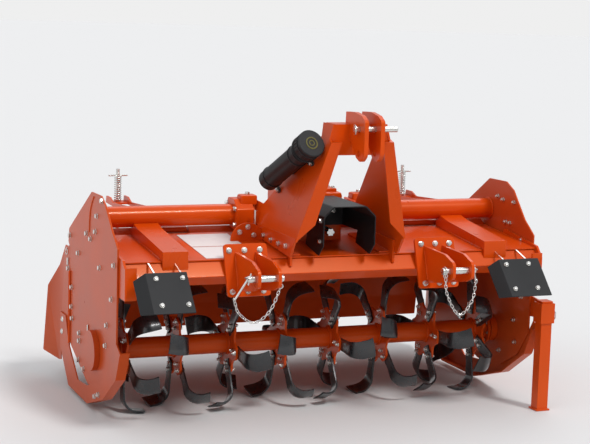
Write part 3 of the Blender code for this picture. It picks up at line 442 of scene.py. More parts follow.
LEFT, RIGHT = (-1, 0, 0), (1, 0, 0)
SIDES = (("left", -1), ("right", 1))
LEFT_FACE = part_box("side_plate_left")[0].x
RIGHT_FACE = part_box("side_plate_right")[0].x
PLATE_BOLTS = ((0.600, 0.712), (0.128, 0.865), (0.150, 0.795), (0.300, 0.765), (0.230, 0.752),
               (0.445, 0.655), (-0.150, 0.700), (0.075, 0.652), (0.625, 0.555), (-0.120, 0.553),
               (0.560, 0.480), (0.560, 0.390), (0.545, 0.340), (-0.050, 0.430), (-0.035, 0.340),
               (0.410, 0.300), (0.410, 0.265), (0.255, 0.250), (0.425, 0.175), (0.330, 0.155),
               (0.050, 0.940))
SKID_BOLTS = ((0.045, 0.110), (0.105, 0.088))
RIGHT_PLATE_NUTS = ((0.090, 0.900), (-0.010, 0.900), (0.060, 0.800), (0.020, 0.800), (-0.100, 0.740),
                    (0.140, 0.910), (0.300, 0.800), (-0.120, 0.480), (-0.060, 0.360), (-0.080, 0.260),
                    (0.060, 0.190), (0.250, 0.180))
seats = [(beside(LEFT_FACE, y, z), LEFT) for y, z in PLATE_BOLTS]
skid_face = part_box("skid_left")[0].x
bolted("side_plate_left_bolts", seats + [(beside(skid_face, y, z), LEFT) for y, z in SKID_BOLTS])
bolted("side_plate_right_nuts", [(beside(RIGHT_FACE, y, z), LEFT) for y, z in RIGHT_PLATE_NUTS], 0.9, NUT)
# Each row: the middle of an end of the drive case, the radius of its bolts, and where they are in degrees.
CASE_ENDS = ((0.23, 0.844, 0.104, (-10, 30, 70, 110, 150, 190)),
             (0.15, 0.28, 0.114, (-10, -50, -90, -130, -170)))
case_bolts = [(y + reach * math.cos(math.radians(turn)), z + reach * math.sin(math.radians(turn)))
              for y, z, reach, turns in CASE_ENDS for turn in turns]
case_bolts += [(0.30, 0.70), (0.285, 0.56), (0.27, 0.42), (0.09, 0.42), (0.105, 0.56), (0.122, 0.70)]
case_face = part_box("side_drive_case")[1].x
bolted("drive_case_bolts", [(beside(case_face, y, z), RIGHT) for y, z in case_bolts], 0.85)

# ---- Wing bolts ----------------------------------------------------------------------------------
# Each rear wing is held to its side plate by two large round-headed bolts over broad washers, one above
# the other.
def cut_below(item, height):
    """Cuts away what lies below the height, and closes the cut."""
    worked(item, (bpy.ops.mesh.bisect, {"plane_co": (0, 0, height), "plane_no": UP, "clear_inner": True,
                                        "use_fill": True}))


def dome_master():
    """A round-headed bolt over a broad washer."""
    washer = rod(0.021, 0.003, (0, 0, 0.0015), UP, 28, 0.0008)
    dome = begun(bpy.ops.mesh.primitive_uv_sphere_add, segments=24, ring_count=12, radius=0.016)
    cut_below(dome, 0.004)
    return joined([washer, settled(dome, Matrix.Translation((0, 0, -0.0015)))])


DOME = dome_master()
WING_BOLTS = ((0.712, 0.302), (0.722, 0.243))
RIGHT_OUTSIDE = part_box("side_plate_right")[1].x
bolted("wing_bolts", [(beside(x, y, z), way) for x, way in ((LEFT_FACE, LEFT), (RIGHT_OUTSIDE, RIGHT))
                      for y, z in WING_BOLTS], master=DOME)

# ---- Side plates: joint strips, seams and tag ----------------------------------------------------
# A folded joint strip covers the seam between each side plate and its wing, and a weld seam runs down
# from the plate's crown. A split ring and a drop tag hang on the left one, with a stop screw lower down.
def wire(points, radius, closed=False):
    """A round wire through the points, as a closed mesh."""
    curve = bpy.data.curves.new("wire", "CURVE")
    curve.dimensions = "3D"
    curve.bevel_depth = radius
    curve.bevel_resolution = 3
    curve.use_fill_caps = not closed
    spline = curve.splines.new("POLY")
    spline.points.add(len(points) - 1)
    for point, at in zip(spline.points, points):
        point.co = (*at, 1.0)
    spline.use_cyclic_u = closed
    item = bpy.data.objects.new("wire", curve)
    bpy.context.scene.collection.objects.link(item)
    chosen(item)
    bpy.ops.object.convert(target="MESH")
    item = bpy.context.view_layer.objects.active
    return worked(item, (bpy.ops.mesh.remove_doubles, {"threshold": 0.00001}))


def ring(place, axis, major, minor, sides=32):
    """A round wire ring."""
    item = begun(bpy.ops.mesh.primitive_torus_add, major_segments=sides, minor_segments=10,
                 major_radius=major, minor_radius=minor)
    return settled(item, Matrix.Translation(place) @ facing(axis))


def slab(size, place, rim, turn=Matrix.Identity(4), segments=2):
    """A flat bar of the given size with rounded edges, its middle at the place."""
    item = begun(bpy.ops.mesh.primitive_cube_add, size=1.0)
    item.scale = size
    bpy.ops.object.transform_apply(location=False, rotation=False, scale=True)
    edge_break(item, rim, segments)
    return settled(item, Matrix.Translation(place) @ turn)


SHEET_THICK = 0.008
STRIP_SIZE = (0.009, 0.011, 0.335)
WING_FOLD = 38              # degrees that the strip is turned by, about half of the wing's fold
SEAM_RADIUS = 0.0042
CROWN_LINE = ((0.188, 0.939), (0.214, 0.915), (0.235, 0.888), (0.247, 0.862), (0.254, 0.830),
              (0.257, 0.800), (0.258, 0.777))
for side_name, side in SIDES:
    face_x = LEFT_FACE if side < 0 else RIGHT_FACE + SHEET_THICK
    strip = slab(STRIP_SIZE, beside(face_x + side * 0.003, 0.594, 0.382), 0.0012,
                 Matrix.Rotation(side * math.radians(WING_FOLD), 4, "Z"))
    dressed(strip, "wing_joint_strip_" + side_name, ORANGE, "frame")
    crown = [beside(face_x, y, z) for y, z in CROWN_LINE]
    dressed(wire(crown, SEAM_RADIUS), "crown_seam_" + side_name, DULL_ORANGE, "frame", 60)
tag_at = beside(LEFT_FACE - 0.004, 0.655, 0.628)
tag = [ring(tag_at, (1, 0.2, 0), 0.012, 0.0018),
       slab((0.002, 0.016, 0.034), tag_at - Vector((0.001, 0.018, 0.042)), 0.0008),
       rod(0.006, 0.008, tag_at + Vector((0.001, 0, 0.012)), RIGHT, 16, 0.001)]
dressed(joined(tag), "ring_and_tag", ZINC, "frame", 50)
stop = rod(0.0045, 0.030, beside(LEFT_FACE - 0.003, 0.258, 0.355), UP, 14, 0.0010)
dressed(stop, "bearing_stop_screw", ZINC, "frame")

# ---- Rotor: flanges and blades -------------------------------------------------------------------
# Forged L-shaped blades, dipped in black enamel and ground along the leading edge, bolted in pairs of
# faces to lobed flanges that are welded to the rotor tube and painted with it.
def blade_black():
    """Black dip enamel over forged scale, rubbed thin in patches where the steel starts to show."""
    paint = Finish(bpy.data.materials.new("blade_black"))
    place = paint.node("ShaderNodeTexCoord", {}, [], "Object")
    scale = noise(paint, place, 45.0, 5.0, 0.65)
    rub = noise(paint, place, 9.0, 3.0)
    worn = ((rub - 0.56) * 6.0).clamped() * 0.35
    tone = blend(paint, worn, (0.014, 0.015, 0.017), (0.10, 0.085, 0.07))
    bump = paint.node("ShaderNodeBump", {}, {"Strength": 0.30, "Distance": 0.0008, "Height": scale})
    shader = paint.node("ShaderNodeBsdfPrincipled", {}, {
        "Base Color": tone, "Roughness": (0.20 + scale * 0.18 + worn * 0.4).clamped(), "Metallic": worn,
        "Coat Weight": 0.5, "Coat Roughness": 0.14, "Normal": bump})
    paint.node("ShaderNodeOutputMaterial", {}, [shader])
    return paint.owner


BLADE_BLACK = blade_black()
ROTOR_LOW, ROTOR_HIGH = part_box("rotor_tube")
ROTOR_AXIS = Vector((0.0, (ROTOR_LOW.y + ROTOR_HIGH.y) / 2, (ROTOR_LOW.z + ROTOR_HIGH.z) / 2))
TIP_RADIUS = ROTOR_AXIS.z
BLADE_THICK = 0.008
BLADE_BEND = 0.060
SHANK_START = 0.072
FLANGE_HALF = 0.005
LATERAL = 0.113


def blade_point(along, across):
    """Where a point of the blade's middle surface lies: sideways, round the rotor, and out from its axis."""
    side = FLANGE_HALF + BLADE_THICK / 2
    bend_start = TIP_RADIUS - BLADE_THICK / 2 - BLADE_BEND
    straight = bend_start - SHANK_START
    arc = BLADE_BEND * math.pi / 2
    flat = LATERAL - side - BLADE_BEND
    length = straight + arc + flat
    reach = along * length
    width = 0.050 + 0.034 * min(1.0, along * 1.25) ** 1.5
    sweep = 0.004 + 0.030 * along ** 2
    slant = 0.018 * max(0.0, along - 0.86) / 0.14
    swing = sweep + across * width
    if reach < straight:
        sideways, out = side, SHANK_START + reach
    elif reach < straight + arc:
        turn = (reach - straight) / BLADE_BEND
        sideways = side + BLADE_BEND * (1 - math.cos(turn))
        out = bend_start + BLADE_BEND * math.sin(turn)
    else:
        sideways = side + BLADE_BEND + (reach - straight - arc)
        out = bend_start + BLADE_BEND
    sideways -= slant * (across + 0.5)
    out -= swing ** 2 / (2 * TIP_RADIUS) * min(1.0, along * 1.6)
    return Vector((sideways, swing, out))


OUTWARD = (bpy.ops.mesh.normals_make_consistent, {"inside": False})


def thickened(item, thickness, group=""):
    """Gives a sheet its thickness, half on each side, scaled by a vertex group if one is named."""
    wall = item.modifiers.new("wall", "SOLIDIFY")
    wall.thickness = thickness
    wall.offset = 0.0
    wall.vertex_group = group
    chosen(item)
    bpy.ops.object.modifier_apply(modifier=wall.name)


def blade_master():
    """One blade that turns to +X, its leading edge at -Y."""
    item = begun(bpy.ops.mesh.primitive_grid_add, x_subdivisions=26, y_subdivisions=6, size=1.0)
    keen = item.vertex_groups.new(name="thickness")
    for vertex in item.data.vertices:
        along, across = vertex.co.x + 0.5, vertex.co.y
        ground = across < -0.45 and along > 0.30
        keen.add([vertex.index], 0.22 if ground else 1.0, "REPLACE")
        if along < 0.08:
            across *= 0.80
        vertex.co = blade_point(along, across)
    thickened(item, BLADE_THICK, keen.name)
    item.vertex_groups.clear()
    edge_break(item, 0.0009, 2, 50)
    return worked(item, OUTWARD)


def flange_master():
    """A lobed plate: six lobes, one behind each blade, with a shallow notch between neighbours."""
    item = begun(bpy.ops.mesh.primitive_circle_add, vertices=96, radius=1.0, fill_type="NGON")
    for vertex in item.data.vertices:
        angle = math.atan2(vertex.co.y, vertex.co.x)
        lobe = 0.5 + 0.5 * math.cos(6 * angle)
        radius = 0.107 + 0.027 * min(1.0, 1.5 * lobe) ** 1.3
        vertex.co = Vector((vertex.co.x * radius, vertex.co.y * radius, -FLANGE_HALF))
    upward = {"TRANSFORM_OT_translate": {"value": (0, 0, 2 * FLANGE_HALF)}}
    worked(item, (bpy.ops.mesh.extrude_region_move, upward), OUTWARD)
    edge_break(item, 0.0012, 2, 50)
    collar = rod(0.0525, 0.026, (0, 0, 0), UP, 40, 0.006)
    return settled(joined([item, collar]), Matrix.Rotation(math.pi / 2, 4, "Y"))


BLADE = blade_master()
FLANGE = flange_master()
SHANK_BOLTS = (0.090, 0.122)
SHANK_BOLT_SWEEP = 0.004
GANG_PHASES = (0, 22, -18, 28, -24, 17, -28, 0)
BLADES_A_GANG = 6
second_low, second_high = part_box("blade_gang_2")
seventh_low, seventh_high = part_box("blade_gang_7")
SECOND_X = (second_low.x + second_high.x) / 2
GANG_PITCH = ((seventh_low.x + seventh_high.x) / 2 - SECOND_X) / 5
for gang, phase in enumerate(GANG_PHASES):
    gang_x = SECOND_X + (gang - 1) * GANG_PITCH
    hub = Matrix.Translation((gang_x, ROTOR_AXIS.y, ROTOR_AXIS.z))
    blades, heads = [], []
    for number in range(BLADES_A_GANG):
        way = 1 if number % 2 else -1
        if gang == 0:
            way = 1
        if gang == len(GANG_PHASES) - 1:
            way = -1
        turned = math.pi + math.radians(phase) + number * 2 * math.pi / BLADES_A_GANG
        turn = hub @ Matrix.Rotation(turned, 4, "X")
        blade = placed("blade", BLADE.data, turn @ Matrix.Diagonal((way, 1, 1, 1)))
        if way < 0:
            blade.data.flip_normals()
        blades.append(blade)
        rotation = turn.to_3x3()
        for out in SHANK_BOLTS:
            face = FLANGE_HALF + BLADE_THICK
            heads.append((turn @ Vector((way * face, SHANK_BOLT_SWEEP, out)), rotation @ Vector((way, 0, 0))))
            heads.append((turn @ Vector((-way * FLANGE_HALF, SHANK_BOLT_SWEEP, out)),
                          rotation @ Vector((-way, 0, 0))))
    name = "blade_gang_%d" % (gang + 1)
    gang_piece = dressed(joined(blades), name + "_blades", BLADE_BLACK, "rotor", 40)
    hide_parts(name)
    flange = placed("flange", FLANGE.data, hub @ Matrix.Rotation(math.radians(phase), 4, "X"))
    dressed(flange, name + "_flange", ORANGE, "rotor", 40)
    pairs = copies(BOLT, heads[0::2], 0.9) + copies(NUT, heads[1::2], 0.85)
    dressed(joined(pairs), name + "_bolts", ZINC, "rotor")

END_DISC_X, END_DISC_THICK, END_BOLT_RING = 0.915, 0.012, 0.060
for side_name, side in SIDES:
    end_x = side * END_DISC_X
    disc = rod(0.072, END_DISC_THICK, (end_x, ROTOR_AXIS.y, ROTOR_AXIS.z), (side, 0, 0), 48, 0.002)
    hub_ring = rod(0.050, 0.040, (end_x + side * 0.004, ROTOR_AXIS.y, ROTOR_AXIS.z), (side, 0, 0), 40, 0.003)
    dressed(joined([disc, hub_ring]), "rotor_end_disc_" + side_name, ORANGE, "rotor")
    ring_seats = []
    for step in range(8):
        angle = math.radians(45 * step + 10)
        at = Vector((end_x - side * END_DISC_THICK / 2, ROTOR_AXIS.y + END_BOLT_RING * math.cos(angle),
                     ROTOR_AXIS.z + END_BOLT_RING * math.sin(angle)))
        ring_seats.append((at, (-side, 0, 0)))
    end_bolts = joined(copies(BOLT, ring_seats, 0.6))
    dressed(end_bolts, "rotor_end_bolts_" + side_name, ZINC, "rotor")

# ---- Hitch: bracket bolts, linch pins and safety chains ------------------------------------------
# Each lower bracket is clamped to the beam by six bolts. Its pin is kept by a spring-ring linch pin, and
# the linch pin hangs on a short welded chain, so that it isn't lost when the tiller is taken off.
CHROME = metal("chain_zinc", (0.86, 0.85, 0.82), 0.20, 260.0)


def link_master():
    """One welded chain link, long along X."""
    item = begun(bpy.ops.mesh.primitive_torus_add, major_segments=24, minor_segments=8,
                 major_radius=0.0050, minor_radius=0.0016)
    for vertex in item.data.vertices:
        vertex.co.x += 0.0045 if vertex.co.x > 0 else -0.0045
    return item


def through(knots, count):
    """Evenly spaced places on the smooth curve through the knots."""
    fine = []
    padded = [knots[0] * 2 - knots[1], *knots, knots[-1] * 2 - knots[-2]]
    for index in range(1, len(padded) - 2):
        a, b, c, d = padded[index - 1:index + 3]
        for step in range(40):
            t = step / 40
            fine.append(0.5 * ((2 * b) + (c - a) * t + (2 * a - 5 * b + 4 * c - d) * t * t
                               + (3 * b - a - 3 * c + d) * t ** 3))
    fine.append(knots[-1])
    lengths = [0.0]
    for first, second in zip(fine, fine[1:]):
        lengths.append(lengths[-1] + (second - first).length)
    places = []
    cursor = 0
    for index in range(count):
        target = lengths[-1] * index / (count - 1)
        while cursor < len(fine) - 2 and lengths[cursor + 1] < target:
            cursor += 1
        span = lengths[cursor + 1] - lengths[cursor]
        share = (target - lengths[cursor]) / span if span else 0.0
        places.append(fine[cursor].lerp(fine[cursor + 1], share))
    return places


def chain(knots, pitch=0.0142):
    """Links along the curve through the knots, every other one turned a quarter round."""
    rough = through(knots, 60)
    length = sum((b - a).length for a, b in zip(rough, rough[1:]))
    places = through(knots, max(4, round(length / pitch)))
    made = []
    for index, place in enumerate(places):
        ahead_of = places[min(index + 1, len(places) - 1)]
        behind = places[max(index - 1, 0)]
        along = (ahead_of - behind).normalized()
        turn = Vector((1, 0, 0)).rotation_difference(along).to_matrix().to_4x4()
        roll = Matrix.Rotation(math.radians(45 + 90 * (index % 2)), 4, "X")
        made.append(placed("link", LINK.data, Matrix.Translation(place) @ turn @ roll))
    return made


LINK = link_master()
PLATE_TILT = math.radians(19.4)
BOLT_COLUMNS = (-0.068, 0.0, 0.068)
COLUMN_SHIFT = {-1: -0.001, 1: 0.012}
# The chain's places from end to end, for each side.
CHAIN_KNOTS = {
    -1: ((-0.575, -0.505, 0.605), (-0.555, -0.510, 0.552), (-0.492, -0.512, 0.512), (-0.425, -0.512, 0.556),
         (-0.378, -0.508, 0.655)),
    1: ((0.362, -0.510, 0.668), (0.372, -0.512, 0.590), (0.430, -0.514, 0.500), (0.490, -0.512, 0.555),
        (0.508, -0.508, 0.640))}
for side_name, side in SIDES:
    low_plate, high_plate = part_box("hitch_bracket_" + side_name)
    pin_low, pin_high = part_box("lower_link_pin_" + side_name)
    pin_at = (pin_low + pin_high) / 2
    out_of_plate = Vector((0, -math.cos(PLATE_TILT), math.sin(PLATE_TILT)))
    beam_nose_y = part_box("front_beam")[0].y
    seats = []
    for row_z in (high_plate.z - 0.026, low_plate.z + 0.024):
        row_y = beam_nose_y + (row_z - (pin_at.z - 0.028)) * math.tan(PLATE_TILT) - 0.0150
        for column in BOLT_COLUMNS:
            seats.append((Vector((pin_at.x + column + COLUMN_SHIFT[side], row_y, row_z)), out_of_plate))
    bolted("hitch_bolts_" + side_name, seats)
    broken_edges("lower_link_pin_" + side_name, 0.002, ZINC)
    outer_x, inner_x = (pin_low.x, pin_high.x) if side < 0 else (pin_high.x, pin_low.x)
    collar = rod(0.020, 0.004, (inner_x + side * 0.012, pin_at.y, pin_at.z), RIGHT, 28, 0.001)
    dressed(collar, "link_pin_collar_" + side_name, ZINC, "frame")
    knots = [spot(*knot) for knot in CHAIN_KNOTS[side]]
    ring_end, pin_end = (knots[-1], knots[0]) if side < 0 else (knots[0], knots[-1])
    pin_x = outer_x - side * 0.010
    arm_from = Vector((pin_x, pin_at.y, pin_at.z + 0.012))
    pieces = chain(knots)
    arm_way = pin_end - arm_from
    pieces.append(rod(0.0042, arm_way.length, (arm_from + pin_end) / 2, arm_way, 14, 0.001))
    pieces.append(rod(0.0045, 0.048, (pin_x, pin_at.y, pin_at.z), (0.25, 0, 1), 14, 0.001))
    pieces.append(ring(Vector((pin_x, pin_at.y, pin_at.z + 0.004)), (0.2, 0.3, 1), 0.0200, 0.0022))
    pieces.append(ring(ring_end, (0.3, 1, 0.2), 0.0085, 0.0018))
    dressed(joined(pieces), "linch_chain_" + side_name, CHROME, "frame", 50)

# ---- Top link pin --------------------------------------------------------------------------------
# A plated pin through the mast clevis, with a round head and a pull ring on one side. Its other end is
# plain and stands well out of the clevis.
top_low, top_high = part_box("top_link_pin")
top_at = (top_low + top_high) / 2
broken_edges("top_link_pin", 0.002, ZINC)
head = rod(0.0190, 0.006, (top_low.x + 0.004, top_at.y, top_at.z), RIGHT, 32, 0.0015)
pull = ring((top_low.x + 0.003, top_at.y - 0.004, top_at.z - 0.006), (1, -0.25, 0.1), 0.0175, 0.0022)
dressed(joined([head, pull]), "top_pin_rings", CHROME, "frame", 50)

# ---- Moulded guards and canister -----------------------------------------------------------------
# Tough black plastic with a fine moulded grain: the two corner guards, each bolted on below a pair of thin
# steel straps, and the tube that keeps the handbook dry, strapped to the mast's left leg.
def moulding(name, colour, rough, grain):
    """Grained black plastic, a little greyer where it has been handled."""
    paint = Finish(bpy.data.materials.new(name))
    place = paint.node("ShaderNodeTexCoord", {}, [], "Object")
    leather = paint.node("ShaderNodeTexVoronoi", {}, {"Vector": place, "Scale": grain})
    cloud = noise(paint, place, 7.0, 4.0)
    tone = blend(paint, (cloud * 1.4 - 0.3).clamped(), colour, [part * 1.7 for part in colour])
    bump = paint.node("ShaderNodeBump", {}, {"Strength": 0.30, "Distance": 0.0004, "Height": leather})
    shader = paint.node("ShaderNodeBsdfPrincipled", {}, {
        "Base Color": tone, "Roughness": (rough + (cloud - 0.5) * 0.22).clamped(), "Metallic": 0.0,
        "Specular IOR Level": 0.30, "Normal": bump})
    paint.node("ShaderNodeOutputMaterial", {}, [shader])
    return paint.owner


BLACK = moulding("black_moulding", (0.0075, 0.0078, 0.0085), 0.42, 700.0)
FLAP_LEAN = math.radians(44.3)
FLAP_LONG, FLAP_THICK = 0.196, 0.006
WING_WIDE, WING_BACK, WING_BEND = 0.056, 0.80, math.radians(38)
FLAP_COLUMNS, FLAP_ROWS = (0.742, 0.853), (0.030, 0.158)


def folded_guard(near, far):
    """One guard sheet, laid flat, its hinge edge along X: the main face, and a wing folded down beside it."""
    item = begun(bpy.ops.mesh.primitive_grid_add, x_subdivisions=2, y_subdivisions=2, size=1.0)
    xs = (near - WING_WIDE * WING_BACK, near, far)
    for vertex in item.data.vertices:
        column = round((vertex.co.x + 0.5) * 2)
        row = round((0.5 - vertex.co.y) * 2)
        down = (0.0, FLAP_LONG * 0.5, FLAP_LONG)[row]
        out = 0.0
        if column == 0:
            down = (0.014, FLAP_LONG * 0.5, FLAP_LONG - 0.020)[row]
            out = -WING_WIDE * math.sin(WING_BEND)
        vertex.co = Vector((xs[column], -down, out))
    thickened(item, FLAP_THICK)
    worked(item, OUTWARD)
    return edge_break(item, 0.0018, 3, 25)


beam_low, beam_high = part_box("front_beam")
for side_name, side, near, far in (("left", -1, -0.892, -0.718), ("right", 1, 0.716, 0.912)):
    lean = Matrix.Translation(spot(0, -0.325, 0.694)) @ Matrix.Rotation(math.pi / 2 - FLAP_LEAN, 4, "X")
    guard = settled(folded_guard(near, far), lean)
    dressed(guard, "corner_guard_" + side_name, BLACK, "frame", 30)
    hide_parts("guard_flap_" + side_name)
    face = lean.to_3x3() @ Vector(UP)
    bolted("guard_flap_bolts_" + side_name,
           [(lean @ Vector((side * across, -down, FLAP_THICK / 2)), face)
            for down in FLAP_ROWS for across in FLAP_COLUMNS], 0.85)
    straps = []
    for across in FLAP_COLUMNS:
        under = lean @ Vector((side * across, -0.040, -0.006))
        edge = lean @ Vector((side * across, 0.004, -0.006))
        ridge = Vector((edge.x, (beam_low.y + beam_high.y) / 2 - 0.004, beam_high.z + 0.002))
        for start, end in ((under, edge), (edge, ridge)):
            along = end - start
            turn = Vector((0, 1, 0)).rotation_difference(along).to_matrix().to_4x4()
            straps.append(slab((0.008, along.length + 0.004, 0.006), (start + end) / 2, 0.0012, turn))
    dressed(joined(straps), "guard_straps_" + side_name, CHROME, "frame", 30)

for node in ("manual_canister", "canister_cap"):
    broken_edges(node, 0.0020, BLACK)
cap_joint = next(joint for joint in frame["joints"] if joint["name"] == "canister_cap_slide")
CAP_AXIS = Vector(cap_joint["axis"]).normalized()
cap_low, cap_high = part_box("canister_cap")
cap_at = (cap_low + cap_high) / 2
CAP_RADIUS, CAP_HALF, TUBE_BAND_RADIUS, RIB_RADIUS, RIB_COUNT = 0.0575, 0.0352, 0.0465, 0.0022, 24
ribs = [ring(cap_at + CAP_AXIS * offset, CAP_AXIS, CAP_RADIUS, RIB_RADIUS, 48)
        for offset in (-0.031, -0.024, 0.012, 0.031)]
side_way = CAP_AXIS.cross(Vector((0, 0, 1))).normalized()
over_way = side_way.cross(CAP_AXIS).normalized()
for step in range(RIB_COUNT):
    angle = 2 * math.pi * step / RIB_COUNT
    out = side_way * math.cos(angle) + over_way * math.sin(angle)
    ribs.append(rod(RIB_RADIUS, 0.028, cap_at + out * (CAP_RADIUS - 0.0002) - CAP_AXIS * 0.003, CAP_AXIS, 8))
dressed(joined(ribs), "canister_cap_grip", BLACK, "canister_cap", 50)
OLIVE = moulding("olive_seal", (0.10, 0.088, 0.022), 0.45, 500.0)
cap_end = cap_at + CAP_AXIS * CAP_HALF
dressed(joined([ring(cap_end, CAP_AXIS, 0.0245, 0.0030, 40), ring(cap_end, CAP_AXIS, 0.0110, 0.0024, 32)]),
        "canister_end_ring", OLIVE, "canister_cap", 50)
collar_at = cap_at - CAP_AXIS * CAP_HALF
bands = [ring(collar_at - CAP_AXIS * back, CAP_AXIS, TUBE_BAND_RADIUS, 0.0026, 48)
         for back in (0.020, 0.060, 0.290)]
LEG_TILT = math.radians(14.9)
LEG_BEND_Z = 0.804          # below this the mast's legs stand upright, LEG_OUT from the middle
LEG_OUT = 0.2525
TAB_THICK = 0.008
web_out = Vector((-math.cos(LEG_TILT), 0, -math.sin(LEG_TILT)))
tab_seats = []
for y, z in ((-0.285, 1.128), (-0.015, 0.982)):
    web_x = -(LEG_OUT - (z - LEG_BEND_Z) * math.tan(LEG_TILT))
    tab_at = spot(web_x, y, z) + web_out * TAB_THICK / 2
    tab_turn = Matrix.Rotation(-LEG_TILT, 4, "Y") @ Matrix.Rotation(math.radians(-27), 4, "X")
    bands.append(slab((TAB_THICK, 0.044, 0.036), tab_at, 0.0030, tab_turn))
    tab_seats.append((tab_at + web_out * TAB_THICK / 2, web_out))
dressed(joined(bands), "canister_bands", BLACK, "frame", 50)
bolted("canister_tab_bolts", tab_seats, 0.9)

# ---- Board rods, springs and their nuts ----------------------------------------------------------
# Each rod is screwed steel with a closed coil spring between its cross pin and the guide, so that the rear
# board is pressed down on the soil. Two nuts set its length above the clevis.
COIL_TURNS, COIL_STEPS, COIL_RADIUS, COIL_WIRE, COIL_END = 11, 18, 0.0148, 0.0031, 0.003
ROD_NUTS = (0.676, 0.700)
THREAD_PITCH = 0.0042       # drawn coarser than the real thread, so that it shows
for side_name, _ in SIDES:
    broken_edges("board_rod_" + side_name, 0.0012, ZINC)
    spring_low, spring_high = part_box("board_spring_" + side_name)
    axis_at = (spring_low + spring_high) / 2
    helix = []
    for step in range(COIL_TURNS * COIL_STEPS + 1):
        angle = 2 * math.pi * step / COIL_STEPS
        rise = step / (COIL_TURNS * COIL_STEPS)
        helix.append(Vector((
            axis_at.x + COIL_RADIUS * math.cos(angle), axis_at.y + COIL_RADIUS * math.sin(angle),
            spring_low.z + COIL_END + rise * (spring_high.z - spring_low.z - 2 * COIL_END))))
    coil = dressed(wire(helix, COIL_WIRE), "board_spring_coil_" + side_name, CHROME,
                   "board_rod_" + side_name, 60)
    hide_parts("board_spring_" + side_name)
    nuts = [hexagon(0.024, 0.012, (axis_at.x, axis_at.y, z), UP, 0.002) for z in ROD_NUTS]
    washer = rod(0.018, 0.003, (axis_at.x, axis_at.y, spring_high.z + 0.0022), UP, 28, 0.0008)
    threads = [ring((axis_at.x, axis_at.y, first + THREAD_PITCH * turn), UP, 0.0080, 0.0010, 20)
               for first, turns in ((0.710, 14), (spring_high.z + 0.0135, 5)) for turn in range(turns)]
    dressed(joined(nuts + [washer] + threads), "board_rod_nuts_" + side_name, ZINC,
            "board_rod_" + side_name, 50)
broken_edges("hinge_pin", 0.0010, ZINC)

# ---- Input shaft and its cowl --------------------------------------------------------------------
# A splined steel shaft under a black cowl that is open at the front for the drive shaft's joint.
SHAFT = metal("bright_shaft", (0.70, 0.69, 0.67), 0.22, 90.0, (1.0, 0.1, 1.0))
shaft_low, shaft_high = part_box("pto_shaft")
shaft_at = (shaft_low + shaft_high) / 2
shaft_radius = (shaft_high.x - shaft_low.x) / 2
SPLINES, SPLINE_ROOT = 6, 0.84
shaft = begun(bpy.ops.mesh.primitive_cylinder_add, vertices=48, radius=shaft_radius,
              depth=shaft_high.y - shaft_low.y)
for vertex in shaft.data.vertices:
    angle = math.atan2(vertex.co.y, vertex.co.x)
    if math.cos(SPLINES * angle) < 0.0:
        vertex.co.x *= SPLINE_ROOT
        vertex.co.y *= SPLINE_ROOT
edge_break(shaft, 0.0007, 1, 40)
settled(shaft, Matrix.Translation(shaft_at) @ Matrix.Rotation(math.pi / 2, 4, "X"))
dressed(shaft, "splined_shaft", SHAFT, "pto_shaft", 30)
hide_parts("pto_shaft")
broken_edges("pto_shield", 0.0020, BLACK)
cowl_low, cowl_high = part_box("pto_shield")
seats = [(Vector((x, cowl_low.y + y, cowl_high.z - z)), way)
         for x, way in ((cowl_low.x, LEFT), (cowl_high.x, RIGHT))
         for y, z in ((0.030, 0.062), (0.034, 0.150), (0.150, 0.062))]
seats += [(Vector((MACHINE_X + x, cowl_high.y - 0.008, cowl_high.z - z)), (0, -1, 0))
          for x, z in ((-0.070, 0.065), (0.070, 0.065))]
bolted("cowl_bolts", seats, 0.85)

# ---- Mast, clamp and frame bolts -----------------------------------------------------------------
# Rows of bolts join the mast legs to their feet, the clamps to the cross tube, and the cover to the gearbox.
# Each clamp also has a half-round flange in front, a block on top, and a stud between the two.
FOOT_BOLTS = ((-0.235, 0.772), (-0.150, 0.768), (-0.060, 0.770), (0.030, 0.776))
CLAMP_BOLTS = ((0.052, 0.038), (-0.052, 0.025), (-0.055, -0.045), (0.058, -0.010))
bolted("mast_foot_bolts", [(spot(side * LEG_OUT, y, z), (side, 0, 0))
                           for side in (-1, 1) for y, z in FOOT_BOLTS])
seats = []
for side_name, side in SIDES:
    clamp_low, clamp_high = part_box("tube_clamp_" + side_name)
    outer_face = clamp_low.x if side < 0 else clamp_high.x
    middle = (clamp_low + clamp_high) / 2
    for y, z in CLAMP_BOLTS:
        seats.append((Vector((outer_face, middle.y + y, middle.z + z)), (side, 0, 0)))
    seats.append((Vector((middle.x, middle.y - 0.010, clamp_high.z)), UP))
bolted("tube_clamp_bolts", seats)
fittings, studs = [], []
for side in (-1, 1):
    plate_at = spot(side * 0.318, 0.060, 0.752)
    round_plate = rod(0.078, 0.010, plate_at, (0, 1, 0), 56, 0.0015)
    cut_below(round_plate, 0.7485)
    fittings += [round_plate, slab((0.080, 0.060, 0.046), spot(side * 0.270, 0.205, 0.912), 0.010),
                 slab((0.026, 0.100, 0.010), spot(side * 0.262, 0.115, 0.800), 0.0020)]
    studs += [(spot(side * x, 0.055, z), (0, -1, 0))
              for x, z in ((0.356, 0.790), (0.318, 0.812), (0.290, 0.775))]
    studs.append((spot(side * 0.270, 0.205, 0.935), UP))
dressed(joined(fittings), "clamp_fittings", ORANGE, "frame")
bolted("clamp_fitting_bolts", studs)
jack = [rod(0.0075, 0.075, spot(side * 0.262, 0.118, 0.838), UP, 20, 0.0012) for side in (-1, 1)]
dressed(joined(jack), "clamp_studs", CHROME, "frame")
box_low, box_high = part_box("gearbox")
box_top = Vector(((box_low.x + box_high.x) / 2, (box_low.y + box_high.y) / 2, box_high.z))
plug_at = box_top - Vector((0.04, 0, 0))
